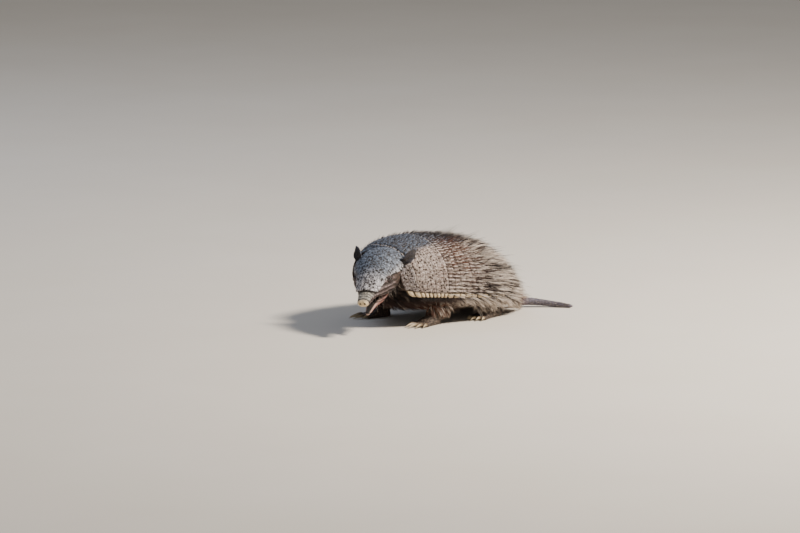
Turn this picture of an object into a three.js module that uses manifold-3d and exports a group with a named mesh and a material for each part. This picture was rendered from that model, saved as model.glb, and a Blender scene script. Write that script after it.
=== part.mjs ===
// A hairy armadillo at life size, standing still on four feet with its head lowered and turned to its
// left, and its tail lying on the ground. Millimetres. X is the animal's left, Y runs from head to tail
// and Z is up, with the floor at Z = 0.
//
// The carapace and the trunk under it are one family of cross-sections carried along the spine. A place
// on it is `along` (millimetres behind the nape) and `around` (-1 at the right rim, 0 on the crown of
// the back, 1 at the left rim). The head, jaw, feet and claws are lofts in frames of their own. Neighbours
// are parted by thin cuts, so that no two solids touch.

import * as THREE from "three";
import { mergeVertices } from "three/addons/utils/BufferGeometryUtils.js";
import Module from "manifold-3d";

const wasm = await Module();
wasm.setup();

// ---------------------------------------------------------------- driving dimensions

const BODY_ORIGIN = { x: -5.45, y: 5.8 }; // places the bounding box over the frame's origin
const CARAPACE_LENGTH = 216; // along the spine, from the nape to the end over the tail
const SPINE_RADIUS = 760; // the body curves a little towards its left
const WRAP = THREE.MathUtils.degToRad(102); // from the crown of the back to the rim
const WIDEST = 0.2; // height of the widest line, as a share of the way from rim to crown
const RIM_TUCK = 4; // how far the rim turns in below the widest line
const ROUNDNESS = 0.92; // exponent of the section: 1 is an ellipse, less is boxier

const PLATE = 2.4; // thickness of the armour
const SLIT = 0.4; // clear gap between neighbouring solids
const CUT = 0.35; // gap left where one solid is cut by its neighbour
const CLEAR_AIR = 12; // how far above the armour nothing else may stand
const SHELL_COLUMNS = 20;
const PLATE_ROWS = { nape: 2, shoulder: 5, band: 1, pelvis: 8, cutter: 14 };
const FRONT_EDGE = { crown: -7, flankDrop: 3, flank: 0.72, turnBack: 13, turnFrom: 0.75, turnPower: 2.2 };
const REAR_EDGE = { crown: 217, rimForward: 9 };
const NAPE_BAND = { crown: 12, flank: 17, at: 0.7 }; // length of the first band, and where it is longest
const SHOULDER_END = 62;
const BAND_COUNT = 7;
const BAND_LENGTH = 10.5;
const BAND_STEP = 0.9; // how far a band's front edge lies under the rear edge before it

const HEAD_AT = { along: -25, side: 24, height: 92 }; // the midpoint between the ears
const HEAD_YAW = 37; // degrees to the animal's left
const HEAD_PITCH = 19; // degrees down
const HEAD_ROLL = -3;
const GAPE = 13; // degrees that the lower jaw hangs open
const JAW_HINGE = { forward: 18, height: -33 };
// The neck from the chest to the head: its line beside the spine, where it ends in the head, its sizes.
const NECK = {
  line: [
    [16, 0, 66],
    [-4, 4, 68],
  ],
  headHeight: -19,
  halfWidth: [36, 33, 27],
  halfHeight: [30, 31, 27],
  sides: 12,
  steps: 4,
};
const EYE = { radius: 3.3, side: 22.9, forward: 33, height: -10.7, segments: 10, rings: 8 };
const EAR = { length: 22.5, width: 12.5, thickness: 1.7, forward: -8, height: -5, rows: 5, columns: 6 };
const EAR_CURL = { base: 80, tip: 38 }; // degrees that each half wraps round the hollow
const EAR_LEAN = 4; // how far the tip leans back
const EAR_OUTLINE = { base: 0.84, swell: 0.28, taper: 0.4, taperPower: 8, scoop: 0.16 };
const EAR_HOLLOW = 1.4; // how far the hollow's floor lies behind the stem, in half widths
// The left ear is laid out further than the right one. Turns are in degrees.
const EARS = [
  { name: "ear_left", side: 33, yaw: 24, pitch: -14, roll: 57 },
  { name: "ear_right", side: -26, yaw: -13, pitch: -22, roll: -34 },
];

// Cross-sections of the body, by the distance behind the nape.
const BODY = [
  { at: -10, halfWidth: 43, top: 98, rim: 48, belly: 44 },
  { at: 16, halfWidth: 60, top: 110.5, rim: 42, belly: 22 },
  { at: 60, halfWidth: 72, top: 114, rim: 38, belly: 14 },
  { at: 105, halfWidth: 75, top: 108, rim: 34, belly: 11 },
  { at: 145, halfWidth: 72, top: 97, rim: 30, belly: 10 },
  { at: 180, halfWidth: 60, top: 77, rim: 24, belly: 10 },
  { at: 204, halfWidth: 42, top: 53, rim: 18, belly: 11 },
  { at: 218, halfWidth: 27, top: 33, rim: 14, belly: 12 },
];

// Cross-sections of the head, by the distance in front of the ears.
const HEAD = [
  { at: -18, halfWidth: 17, top: -6, bottom: -31 },
  { at: -8, halfWidth: 25, top: 2, bottom: -38 },
  { at: 7, halfWidth: 29, top: 5, bottom: -41 },
  { at: 23, halfWidth: 28.5, top: 4, bottom: -39 },
  { at: 36, halfWidth: 26, top: 0.5, bottom: -34 },
  { at: 49, halfWidth: 18.5, top: -5, bottom: -29 },
  { at: 62, halfWidth: 12.5, top: -10, bottom: -26.5 },
  { at: 74, halfWidth: 9.8, top: -13, bottom: -26 },
  { at: 82, halfWidth: 8.4, top: -14.5, bottom: -26 },
  { at: 85, halfWidth: 6.2, top: -16.5, bottom: -24 },
];
const JAW = [
  { at: 20, halfWidth: 15, top: -33, bottom: -43 },
  { at: 36, halfWidth: 12, top: -31, bottom: -41 },
  { at: 50, halfWidth: 8.2, top: -28.5, bottom: -36 },
  { at: 62, halfWidth: 5.6, top: -27, bottom: -32.5 },
  { at: 71, halfWidth: 3.6, top: -27, bottom: -31.5 },
  { at: 75, halfWidth: 1.8, top: -28, bottom: -30.5 },
];
// The head shield: half width, height on the midline, and how far its sides hang below that.
const HEAD_SHIELD = [
  { at: -24, halfWidth: 21, crown: 7, sag: 5 },
  { at: -10, halfWidth: 30, crown: 10, sag: 13 },
  { at: 4, halfWidth: 33.5, crown: 10.6, sag: 18 },
  { at: 17, halfWidth: 30.5, crown: 9, sag: 17 },
  { at: 31, halfWidth: 22.4, crown: 6, sag: 10.5 },
  { at: 44, halfWidth: 19, crown: 0.8, sag: 8.8 },
  { at: 57, halfWidth: 16.5, crown: -4.6, sag: 7.5 },
  { at: 66, halfWidth: 13, crown: -7.8, sag: 6 },
];

// Limbs: where each leaves the body, where its foot stands, and which way that foot points.
const LEGS = [
  { name: "foreleg_left", fore: true, root: [58, 42, 44], foot: [58, 46], turn: 12 },
  { name: "foreleg_right", fore: true, root: [54, -42, 44], foot: [46, -44], turn: -8 },
  { name: "hindleg_left", fore: false, root: [158, 42, 42], foot: [158, 46], turn: 16 },
  { name: "hindleg_right", fore: false, root: [158, -42, 42], foot: [172, -44], turn: -14 },
];
const FORE_PAW = [
  { at: -9, halfWidth: 6, top: 10 },
  { at: -2, halfWidth: 9.5, top: 15 },
  { at: 8, halfWidth: 11, top: 14 },
  { at: 18, halfWidth: 11.5, top: 10 },
  { at: 23, halfWidth: 9, top: 7.5 },
];
const HIND_PAW = [
  { at: -20, halfWidth: 5.5, top: 8 },
  { at: -13, halfWidth: 8, top: 13 },
  { at: 2, halfWidth: 9.5, top: 16 },
  { at: 18, halfWidth: 11.5, top: 10.5 },
  { at: 24, halfWidth: 9.5, top: 8 },
];
// Toes from the inner to the outer side: offset and turn to the outer side, toe and claw length.
const FORE_TOES = [
  { side: -8, turn: -14, toe: 5, claw: 11 },
  { side: -4.4, turn: -6, toe: 8, claw: 18 },
  { side: 0.2, turn: 0, toe: 8.5, claw: 20 },
  { side: 4.8, turn: 8, toe: 7, claw: 16 },
  { side: 8.4, turn: 18, toe: 4, claw: 11 },
];
const HIND_TOES = [
  { side: -8.2, turn: -12, toe: 5, claw: 8 },
  { side: -4.2, turn: -5, toe: 8, claw: 11 },
  { side: 0.2, turn: 0, toe: 8.5, claw: 12 },
  { side: 4.6, turn: 7, toe: 7.5, claw: 11 },
  { side: 8.6, turn: 15, toe: 5, claw: 8 },
];
const PAW_SIDE = 4; // height of a paw's widest line
const PAW_GRID = { rows: 5, sides: 10 };
const SOLE_DROP = 5.5; // the sole's arch would reach this far below that line, and the floor flattens it
const TOE = { radius: 3.1, taper: 0.22, height: 3.2, drop: 0.6, buried: 4, sides: 6 };
const CLAW = { radius: 2.3, slimness: 0.7, taper: 0.92, taperPower: 1.3, sides: 5, steps: 3 };
const CLAW_ARC = { root: 3.1, drop: 2.1, hump: 0.8 }; // heights of its middle line
const LEG = { kneeHeight: 26, ankleHeight: 7, sides: 10, steps: 4 };
// Half width and half depth from the hip or shoulder to the ankle, and how far the joints stand off.
const FORELEG = { wide: [17, 14.5, 10], deep: [25, 19.5, 12], kneeBack: 7, kneeOut: 7, ankleBack: -1 };
const HINDLEG = { wide: [20, 16, 10], deep: [27, 21, 12], kneeBack: -12, kneeOut: 8, ankleBack: -2 };

// The tail's line, by distance behind the nape, side and height, and its radius along it.
const TAIL_LINE = [
  [194, 0, 21],
  [212, 1, 13],
  [230, 3, 9],
  [250, 8, 7.4],
  [274, 20, 4.3],
  [296, 36, 2.3],
];
const TAIL_RADII = [9, 7.2, 5.4, 4.5, 3.8, 2.3];
const TAIL = { partAt: 0.52, sides: 10, steps: 12 }; // its two lengths meet at this share of the line

// ---------------------------------------------------------------- curves and frames

const { clamp, degToRad, lerp } = THREE.MathUtils;

// A smooth curve through one field of a list of sections, held level beyond its ends.
function through(sections, field) {
  const xs = sections.map((section) => section.at);
  const ys = sections.map((section) => section[field]);
  const last = xs.length - 1;
  const slopes = ys.map((_, i) => {
    const before = Math.max(i - 1, 0);
    const after = Math.min(i + 1, last);
    return (ys[after] - ys[before]) / (xs[after] - xs[before]);
  });
  return (at) => {
    const x = clamp(at, xs[0], xs[last]);
    let i = 0;
    while (i < last - 1 && x > xs[i + 1]) i += 1;
    const span = xs[i + 1] - xs[i];
    const t = (x - xs[i]) / span;
    const rise = t * t * (3 - 2 * t);
    return (
      lerp(ys[i], ys[i + 1], rise) +
      span * t * (1 - t) * ((1 - t) * slopes[i] - t * slopes[i + 1])
    );
  };
}

const body = {
  halfWidth: through(BODY, "halfWidth"),
  top: through(BODY, "top"),
  rim: through(BODY, "rim"),
  belly: through(BODY, "belly"),
};

// The spine is an arc seen from above. Gives a point beside it, `side` millimetres to the left.
function besideSpine(along, side, height) {
  const turn = (along - CARAPACE_LENGTH / 2) / SPINE_RADIUS;
  return new THREE.Vector3(
    SPINE_RADIUS * (1 - Math.cos(turn)) + side * Math.cos(turn),
    SPINE_RADIUS * Math.sin(turn) - side * Math.sin(turn),
    height,
  );
}

// A rounded power that keeps its argument's sign.
const bow = (value) => Math.sign(value) * Math.abs(value) ** ROUNDNESS;

// A point of the carapace, `depth` under its outer surface.
function shellPoint(along, around, depth) {
  const angle = Math.abs(around) * WRAP;
  const half = body.halfWidth(along) - depth;
  const rim = body.rim(along);
  const widest = rim + WIDEST * (body.top(along) - rim);
  let side = half;
  let height = widest;
  if (angle <= Math.PI / 2) {
    side = half * bow(Math.sin(angle));
    height = widest + (body.top(along) - depth - widest) * bow(Math.cos(angle));
  } else {
    const tuck = ((angle - Math.PI / 2) / (WRAP - Math.PI / 2)) * (Math.PI / 2);
    side = half - RIM_TUCK * (1 - Math.cos(tuck));
    height = widest - (widest - rim) * Math.sin(tuck);
  }
  return besideSpine(along, Math.sign(around) * side, height);
}

// ---------------------------------------------------------------- meshes

function signedVolume(positions, triangles) {
  const corners = [0, 1, 2].map(() => new THREE.Vector3());
  let total = 0;
  for (let i = 0; i < triangles.length; i += 3) {
    corners.forEach((corner, k) => corner.copy(positions[triangles[i + k]]));
    total += corners[0].dot(corners[1].cross(corners[2])) / 6;
  }
  return total;
}

// A closed mesh whose faces are turned outwards as a whole.
function closedMesh(positions, triangles) {
  if (signedVolume(positions, triangles) < 0) triangles.reverse();
  const flat = positions.flatMap((point) => [point.x, point.y, point.z]);
  return new THREE.BufferGeometry()
    .setAttribute("position", new THREE.Float32BufferAttribute(flat, 3))
    .setIndex(triangles);
}

// Joins equal rings of points into a tube and closes its two ends with fans.
function loft(rings) {
  const sides = rings[0].length;
  const positions = rings.flat();
  const triangles = [];
  for (let row = 0; row < rings.length - 1; row += 1) {
    for (let k = 0; k < sides; k += 1) {
      const a = row * sides + k;
      const b = row * sides + ((k + 1) % sides);
      triangles.push(a, b, a + sides, b, b + sides, a + sides);
    }
  }
  const closeEnd = (row, flip) => {
    const centre = positions.length;
    const ring = rings[row];
    positions.push(
      ring.reduce((sum, point) => sum.add(point), new THREE.Vector3()).divideScalar(sides),
    );
    for (let k = 0; k < sides; k += 1) {
      const a = row * sides + k;
      const b = row * sides + ((k + 1) % sides);
      triangles.push(...(flip ? [centre, b, a] : [centre, a, b]));
    }
  };
  closeEnd(0, true);
  closeEnd(rings.length - 1, false);
  return closedMesh(positions, triangles);
}

// A curved plate between an outer and an inner grid of points, given as point(row, column, inside).
function plate(rows, columns, point) {
  const width = columns + 1;
  const layer = (rows + 1) * width;
  const positions = [];
  for (const inside of [false, true]) {
    for (let row = 0; row <= rows; row += 1) {
      for (let column = 0; column <= columns; column += 1) {
        positions.push(point(row / rows, column / columns, inside));
      }
    }
  }
  const triangles = [];
  const quad = (a, b, c, d) => triangles.push(a, b, c, a, c, d);
  for (let row = 0; row < rows; row += 1) {
    for (let column = 0; column < columns; column += 1) {
      const a = row * width + column;
      quad(a, a + 1, a + 1 + width, a + width);
      quad(layer + a, layer + a + width, layer + a + 1 + width, layer + a + 1);
    }
  }
  for (let column = 0; column < columns; column += 1) {
    const far = rows * width + column;
    quad(column + 1, column, layer + column, layer + column + 1);
    quad(far, far + 1, layer + far + 1, layer + far);
  }
  for (let row = 0; row < rows; row += 1) {
    const near = row * width;
    const far = near + columns;
    quad(near, near + width, layer + near + width, layer + near);
    quad(far + width, far, layer + far, layer + far + width);
  }
  return closedMesh(positions, triangles);
}

const asSolid = (geometry, matrix) => {
  const merged = mergeVertices(geometry.clone().applyMatrix4(matrix), 1e-3);
  return new wasm.Manifold(
    new wasm.Mesh({
      numProp: 3,
      vertProperties: merged.attributes.position.array,
      triVerts: new Uint32Array(merged.index.array),
    }),
  );
};

const asGeometry = (solid) => {
  const { vertProperties, triVerts, numProp } = solid.getMesh();
  const positions = [];
  for (let i = 0; i < vertProperties.length; i += numProp) {
    positions.push(...vertProperties.subarray(i, i + 3));
  }
  return new THREE.BufferGeometry()
    .setAttribute("position", new THREE.Float32BufferAttribute(positions, 3))
    .setIndex([...triVerts]);
};

// The largest piece of a solid, so that slivers beyond a cut are dropped.
const mainPiece = (solid) =>
  solid.decompose().reduce((best, piece) => (piece.volume() > best.volume() ? piece : best));

// Cuts neighbours, given as solids in the body's frame, out of a geometry that stands in `frame`.
function cutBy(geometry, frame, ...neighbours) {
  const whole = asSolid(geometry, frame);
  const left = mainPiece(neighbours.reduce((solid, other) => solid.subtract(other), whole));
  return asGeometry(left).applyMatrix4(frame.clone().invert());
}

const IN_BODY = new THREE.Matrix4();

function frameAt(position, yaw = 0, pitch = 0, roll = 0) {
  const turn = new THREE.Euler(degToRad(pitch), degToRad(roll), degToRad(yaw), "ZXY");
  return new THREE.Matrix4().compose(
    position,
    new THREE.Quaternion().setFromEuler(turn),
    new THREE.Vector3(1, 1, 1),
  );
}

// ---------------------------------------------------------------- materials

const finish = (color, roughness) => new THREE.MeshStandardMaterial({ color, roughness });
const HORN = finish(0x6f6460, 0.55);
const HIDE = finish(0x6b5148, 0.8);
const FUR = finish(0x7a6350, 0.95);
const EAR_SKIN = finish(0x4a4145, 0.7);
const CLAW_HORN = finish(0xa8977c, 0.4);
const EYEBALL = finish(0x120d0b, 0.1);

const armadillo = new THREE.Group();
armadillo.position.set(BODY_ORIGIN.x, BODY_ORIGIN.y, 0);

function add(name, geometry, material, parent = armadillo) {
  const mesh = new THREE.Mesh(geometry, material);
  mesh.name = name;
  parent.add(mesh);
  return mesh;
}

function groupIn(frame) {
  const group = new THREE.Group();
  frame.decompose(group.position, group.quaternion, group.scale);
  armadillo.add(group);
  return group;
}

// ---------------------------------------------------------------- trunk and carapace

const TRUNK_ROWS = [-10, -3, 6, 18, 38, 62, 86, 110, 134, 152, 168, 182, 193, 203, 210];
const BELLY_POINTS = 5;
const FLANK_INSET = 8;
const BELLY_FULLNESS = 0.85; // exponent of the underside: 1 is an ellipse, less is squarer

const BELLY_JOINT_DROP = 5; // the underside starts this far below the last point of the back
const UNDER_PLATE = 0.7; // clear gap between the armour and the flesh
const NECK_DRAW = { from: 14, over: 24, depth: 26 };
const TAIL_DRAW = { from: 202, over: 8, depth: 5 };

// How far the flesh lies under the armour's outer surface. It draws in at the neck and the tail.
function fleshDepth(along) {
  const neckward = Math.max(0, NECK_DRAW.from - along) / NECK_DRAW.over;
  const tailward = Math.max(0, along - TAIL_DRAW.from) / TAIL_DRAW.over;
  return PLATE + UNDER_PLATE + NECK_DRAW.depth * neckward ** 2 + TAIL_DRAW.depth * tailward ** 2;
}

// The underside of the trunk, from its left flank to its right one.
function undersideRow(along, grow) {
  const depth = fleshDepth(along) - grow;
  const half = body.halfWidth(along) - depth - FLANK_INSET + grow;
  const joint = shellPoint(along, 1 - 2 / SHELL_COLUMNS, depth).z - BELLY_JOINT_DROP;
  const belly = body.belly(along) - grow;
  return Array.from({ length: BELLY_POINTS }, (_, k) => {
    const angle = (Math.PI * (k + 1)) / (BELLY_POINTS + 1);
    const drop = (joint - belly) * Math.sin(angle) ** BELLY_FULLNESS;
    return besideSpine(along, half * Math.cos(angle), joint - drop);
  });
}

// A row over the back at one depth, from the right flank to the left one, short of the rims by `margin`.
function backRow(along, depth, margin) {
  return Array.from({ length: SHELL_COLUMNS + 1 - 2 * margin }, (_, k) =>
    shellPoint(along, (2 * (k + margin)) / SHELL_COLUMNS - 1, depth),
  );
}

const trunkGeometry = (grow) =>
  loft(
    TRUNK_ROWS.map((row) => {
      const along = row + grow * Math.sign(row - CARAPACE_LENGTH / 2);
      return [...backRow(along, fleshDepth(along) - grow, 1), ...undersideRow(along, grow)];
    }),
  );
const trunkCutter = asSolid(trunkGeometry(CUT), IN_BODY);

// The trunk and the armour over it as one body, to cut the legs where they come out from under it.
const torsoCutter = asSolid(
  loft(TRUNK_ROWS.map((along) => [...backRow(along, -CUT, 0), ...undersideRow(along, 1.5 * CUT)])),
  IN_BODY,
);

// The front edge of the armour lies under the head shield at the nape and turns back to the rim.
function shellFront(around) {
  const { crown, flankDrop, flank, turnBack, turnFrom, turnPower } = FRONT_EDGE;
  const turned = Math.max(0, (Math.abs(around) - turnFrom) / (1 - turnFrom));
  return crown + flankDrop * Math.min(Math.abs(around) / flank, 1) + turnBack * turned ** turnPower;
}

const napeEnd = (around) =>
  shellFront(around) +
  lerp(NAPE_BAND.crown, NAPE_BAND.flank, Math.min(1, Math.abs(around) / NAPE_BAND.at));
const shellRear = (around) => REAR_EDGE.crown - REAR_EDGE.rimForward * around ** 2;

function shellPlate(rows, front, rear, step = 0) {
  return plate(rows, SHELL_COLUMNS, (v, u, inside) => {
    const around = 2 * u - 1;
    const along = lerp(front(around), rear(around), v);
    const depth = inside ? PLATE : step * (1 - v);
    return shellPoint(along, around, depth);
  });
}

// The whole carapace and the air over it, to cut what passes under its edges.
const armourCutter = asSolid(
  plate(PLATE_ROWS.cutter, SHELL_COLUMNS, (v, u, inside) => {
    const around = 2 * u - 1;
    const along = lerp(shellFront(around) - CUT, shellRear(around) + CUT, v);
    const place = shellPoint(along, around, inside ? PLATE + 2 * CUT : -CLEAR_AIR);
    place.z -= CUT * around ** 8; // a little below the rim
    return place;
  }),
  IN_BODY,
);

function addCarapace() {
  add("trunk", trunkGeometry(0), FUR);
  add("nape_band", shellPlate(PLATE_ROWS.nape, shellFront, napeEnd), HORN);
  const shoulderFront = (around) => napeEnd(around) + SLIT;
  add(
    "shoulder_shield",
    shellPlate(PLATE_ROWS.shoulder, shoulderFront, () => SHOULDER_END, BAND_STEP / 2),
    HORN,
  );
  for (let i = 0; i < BAND_COUNT; i += 1) {
    const front = SHOULDER_END + i * BAND_LENGTH + SLIT;
    const rear = SHOULDER_END + (i + 1) * BAND_LENGTH;
    add(`band_${i + 1}`, shellPlate(PLATE_ROWS.band, () => front, () => rear, BAND_STEP), HORN);
  }
  const pelvisFront = SHOULDER_END + BAND_COUNT * BAND_LENGTH + SLIT;
  const pelvis = shellPlate(PLATE_ROWS.pelvis, () => pelvisFront, shellRear, BAND_STEP);
  add("pelvic_shield", pelvis, HORN);
}

// ---------------------------------------------------------------- head and neck

const HEAD_SIDES = 14;
const HEAD_ROWS = [-18, -13, -6, 4, 15, 25, 34, 43, 53, 63, 73, 80, 84, 85.5];
const JAW_ROWS = [20, 30, 40, 50, 60, 70, 75];
const JAW_SIDES = 10;
const HEAD_SHIELD_GRID = { rows: 9, columns: 10 };
const HEAD_SHIELD_CORNER = 5; // how far its corners are rounded off
const HEAD_SHIELD_SAG_POWER = 2.2;
const HEAD_SHIELD_AIR = 8; // how far above the head shield nothing else may stand

// Egg-shaped rings across the head, with Y backwards in the head's own frame.
function headRings(sections, rows, sides, grow) {
  const halfWidth = through(sections, "halfWidth");
  const top = through(sections, "top");
  const bottom = through(sections, "bottom");
  return rows.map((at) => {
    const middle = (top(at) + bottom(at)) / 2;
    const half = halfWidth(at) + grow;
    const tall = (top(at) - bottom(at)) / 2 + grow;
    return Array.from({ length: sides }, (_, k) => {
      const angle = (2 * Math.PI * k) / sides;
      return new THREE.Vector3(
        half * bow(Math.sin(angle)),
        -at,
        middle + tall * bow(Math.cos(angle)),
      );
    });
  });
}

const headShield = {
  halfWidth: through(HEAD_SHIELD, "halfWidth"),
  crown: through(HEAD_SHIELD, "crown"),
  sag: through(HEAD_SHIELD, "sag"),
};

// A point of the head shield, by its share of the way forward and across, and the depth under its top.
function headShieldPoint(forward, across, depth) {
  const first = HEAD_SHIELD[0].at;
  const last = HEAD_SHIELD.at(-1).at;
  const corner = HEAD_SHIELD_CORNER * across ** 4;
  const at = lerp(first + corner, last - corner, forward);
  const sag = headShield.sag(at) * Math.abs(across) ** HEAD_SHIELD_SAG_POWER;
  return new THREE.Vector3(across * headShield.halfWidth(at), -at, headShield.crown(at) - sag - depth);
}

function headShieldPlate(over, under) {
  return plate(HEAD_SHIELD_GRID.rows, HEAD_SHIELD_GRID.columns, (v, u, inside) =>
    headShieldPoint(v, 2 * u - 1, inside ? under : over),
  );
}

// A cupped ear that stands on its base in its own frame: Z to the tip, the hollow facing -Y.
function earGeometry() {
  const { base, swell, taper, taperPower, scoop } = EAR_OUTLINE;
  return plate(EAR.rows, EAR.columns, (v, u, inside) => {
    const across = 2 * u - 1;
    const curl = degToRad(lerp(EAR_CURL.base, EAR_CURL.tip, v));
    const width = (base + swell * Math.sin(Math.PI * v)) * (1 - taper * v ** taperPower);
    const half = (EAR.width / 2) * width;
    const radius = half / Math.sin(curl) - (inside ? EAR.thickness : 0);
    return new THREE.Vector3(
      radius * Math.sin(curl * across),
      radius * Math.cos(curl * across) - EAR_HOLLOW * half + EAR_LEAN * v ** 2,
      EAR.length * v * (1 - scoop * across ** 2),
    );
  });
}

function addHead() {
  const { along, side, height } = HEAD_AT;
  const headFrame = frameAt(besideSpine(along, side, height), HEAD_YAW, HEAD_PITCH, HEAD_ROLL);
  const head = groupIn(headFrame);

  const shieldCutter = asSolid(headShieldPlate(-HEAD_SHIELD_AIR, PLATE + CUT), headFrame);
  const headSkin = (grow) => loft(headRings(HEAD, HEAD_ROWS, HEAD_SIDES, grow));
  const headCutter = asSolid(headSkin(CUT), headFrame);

  const sockets = [1, -1].map((hand) => {
    const centre = new THREE.Vector3(hand * EYE.side, -EYE.forward, EYE.height);
    const ball = new THREE.SphereGeometry(EYE.radius + CUT, EYE.segments + 2, EYE.rings);
    ball.deleteAttribute("normal").deleteAttribute("uv");
    return asSolid(mergeVertices(ball, 1e-3).translate(centre.x, centre.y, centre.z), headFrame);
  });
  const neighbours = [shieldCutter, trunkCutter, armourCutter, ...sockets];
  add("head", cutBy(headSkin(0), headFrame, ...neighbours), HIDE, head);
  add("head_shield", headShieldPlate(0, PLATE), HORN, head);

  const hinge = new THREE.Vector3(0, -JAW_HINGE.forward, JAW_HINGE.height);
  const gape = frameAt(hinge, 0, GAPE, 0).multiply(
    new THREE.Matrix4().makeTranslation(-hinge.x, -hinge.y, -hinge.z),
  );
  const jaw = loft(headRings(JAW, JAW_ROWS, JAW_SIDES, 0)).applyMatrix4(gape);
  add("lower_jaw", cutBy(jaw, headFrame, headCutter), HIDE, head);

  for (const [word, hand] of [["left", 1], ["right", -1]]) {
    const eyeball = new THREE.SphereGeometry(EYE.radius, EYE.segments, EYE.rings);
    const eye = add(`eye_${word}`, eyeball, EYEBALL, head);
    eye.position.set(hand * EYE.side, -EYE.forward, EYE.height);
  }

  const shield = asSolid(headShieldPlate(-CUT, PLATE + CUT), headFrame);
  for (const { name, side: out, yaw, pitch, roll } of EARS) {
    const earFrame = frameAt(new THREE.Vector3(out, -EAR.forward, EAR.height), yaw, pitch, roll);
    const earInBody = headFrame.clone().multiply(earFrame);
    const ear = cutBy(earGeometry(), earInBody, headCutter, shield, trunkCutter, armourCutter);
    add(name, ear.applyMatrix4(earFrame), EAR_SKIN, head);
  }

  // The neck runs from inside the chest into the back of the head, and is cut by both.
  const neckEnd = new THREE.Vector3(0, 0, NECK.headHeight).applyMatrix4(headFrame);
  const neckLine = NECK.line.map((point) => besideSpine(...point));
  const neckCurve = new THREE.CatmullRomCurve3([...neckLine, neckEnd]);
  const neck = tube(neckCurve, NECK.halfWidth, NECK.halfHeight, NECK.sides, NECK.steps);
  add("neck", cutBy(neck, IN_BODY, trunkCutter, headCutter, shieldCutter, armourCutter), FUR);
}

// ---------------------------------------------------------------- limbs and tail

const LEVEL_ENOUGH = 0.3; // below this a line is too upright to have a level side

// A tube along a line, with its half widths across and its half heights taken through the lists.
function tube(line, across, upright, sides, steps) {
  const spread = (values) =>
    through(values.map((value, i) => ({ at: i / (values.length - 1), value })), "value");
  const wide = spread(across);
  const tall = spread(upright);
  const rings = [];
  for (let step = 0; step <= steps; step += 1) {
    const share = step / steps;
    const centre = line.getPoint(share);
    const ahead = line.getTangent(share);
    const left = new THREE.Vector3(0, 0, 1).cross(ahead);
    if (left.length() < LEVEL_ENOUGH) left.set(1, 0, 0);
    left.normalize();
    const up = ahead.clone().cross(left).normalize();
    rings.push(
      Array.from({ length: sides }, (_, k) => {
        const angle = (2 * Math.PI * k) / sides;
        return centre
          .clone()
          .addScaledVector(left, wide(share) * Math.cos(angle))
          .addScaledVector(up, tall(share) * Math.sin(angle));
      }),
    );
  }
  return loft(rings);
}

const onFloor = (geometry) => {
  const place = geometry.getAttribute("position");
  for (let i = 0; i < place.count; i += 1) place.setZ(i, Math.max(0, place.getZ(i)));
  return geometry;
};

// A paw seen as a loft of low arches standing on the floor, toes forward along -Y.
function pawGeometry(sections, grow) {
  const halfWidth = through(sections, "halfWidth");
  const top = through(sections, "top");
  const { rows, sides } = PAW_GRID;
  const first = sections[0].at - grow;
  const last = sections.at(-1).at + grow;
  const rings = Array.from({ length: rows + 1 }, (_, row) => {
    const at = lerp(first, last, row / rows);
    return Array.from({ length: sides }, (_, k) => {
      const angle = (2 * Math.PI * k) / sides;
      const rise = Math.cos(angle) > 0 ? top(at) + grow - PAW_SIDE : SOLE_DROP;
      return new THREE.Vector3(
        (halfWidth(at) + grow) * bow(Math.sin(angle)),
        -at,
        PAW_SIDE + rise * bow(Math.cos(angle)),
      );
    });
  });
  return loft(rings);
}

function toeFrame({ side, turn, toe }, hand, front) {
  const base = frameAt(new THREE.Vector3(hand * side, -(front - TOE.buried), 0), hand * turn);
  return { base, reach: toe + TOE.buried };
}

function toeGeometry(reach) {
  const rings = [0, 1].map((share) => {
    const radius = TOE.radius * (1 - TOE.taper * share ** 2);
    return Array.from({ length: TOE.sides }, (_, k) => {
      const angle = (2 * Math.PI * k) / TOE.sides;
      return new THREE.Vector3(
        radius * Math.cos(angle),
        -reach * share,
        Math.max(0, TOE.height - TOE.drop * share + radius * Math.sin(angle)),
      );
    });
  });
  return loft(rings);
}

// A curved claw, deeper than wide, whose point comes down almost to the floor.
function clawGeometry(length) {
  const rings = Array.from({ length: CLAW.steps + 1 }, (_, step) => {
    const share = step / CLAW.steps;
    const radius = CLAW.radius * (1 - CLAW.taper * share ** CLAW.taperPower);
    const { root, drop, hump } = CLAW_ARC;
    const middle = root - drop * share ** 2 + hump * Math.sin(Math.PI * share);
    return Array.from({ length: CLAW.sides }, (_, k) => {
      const angle = (2 * Math.PI * k) / CLAW.sides + Math.PI / 2;
      return new THREE.Vector3(
        CLAW.slimness * radius * Math.cos(angle),
        -length * share,
        middle + radius * Math.sin(angle),
      );
    });
  });
  return loft(rings);
}

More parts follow.
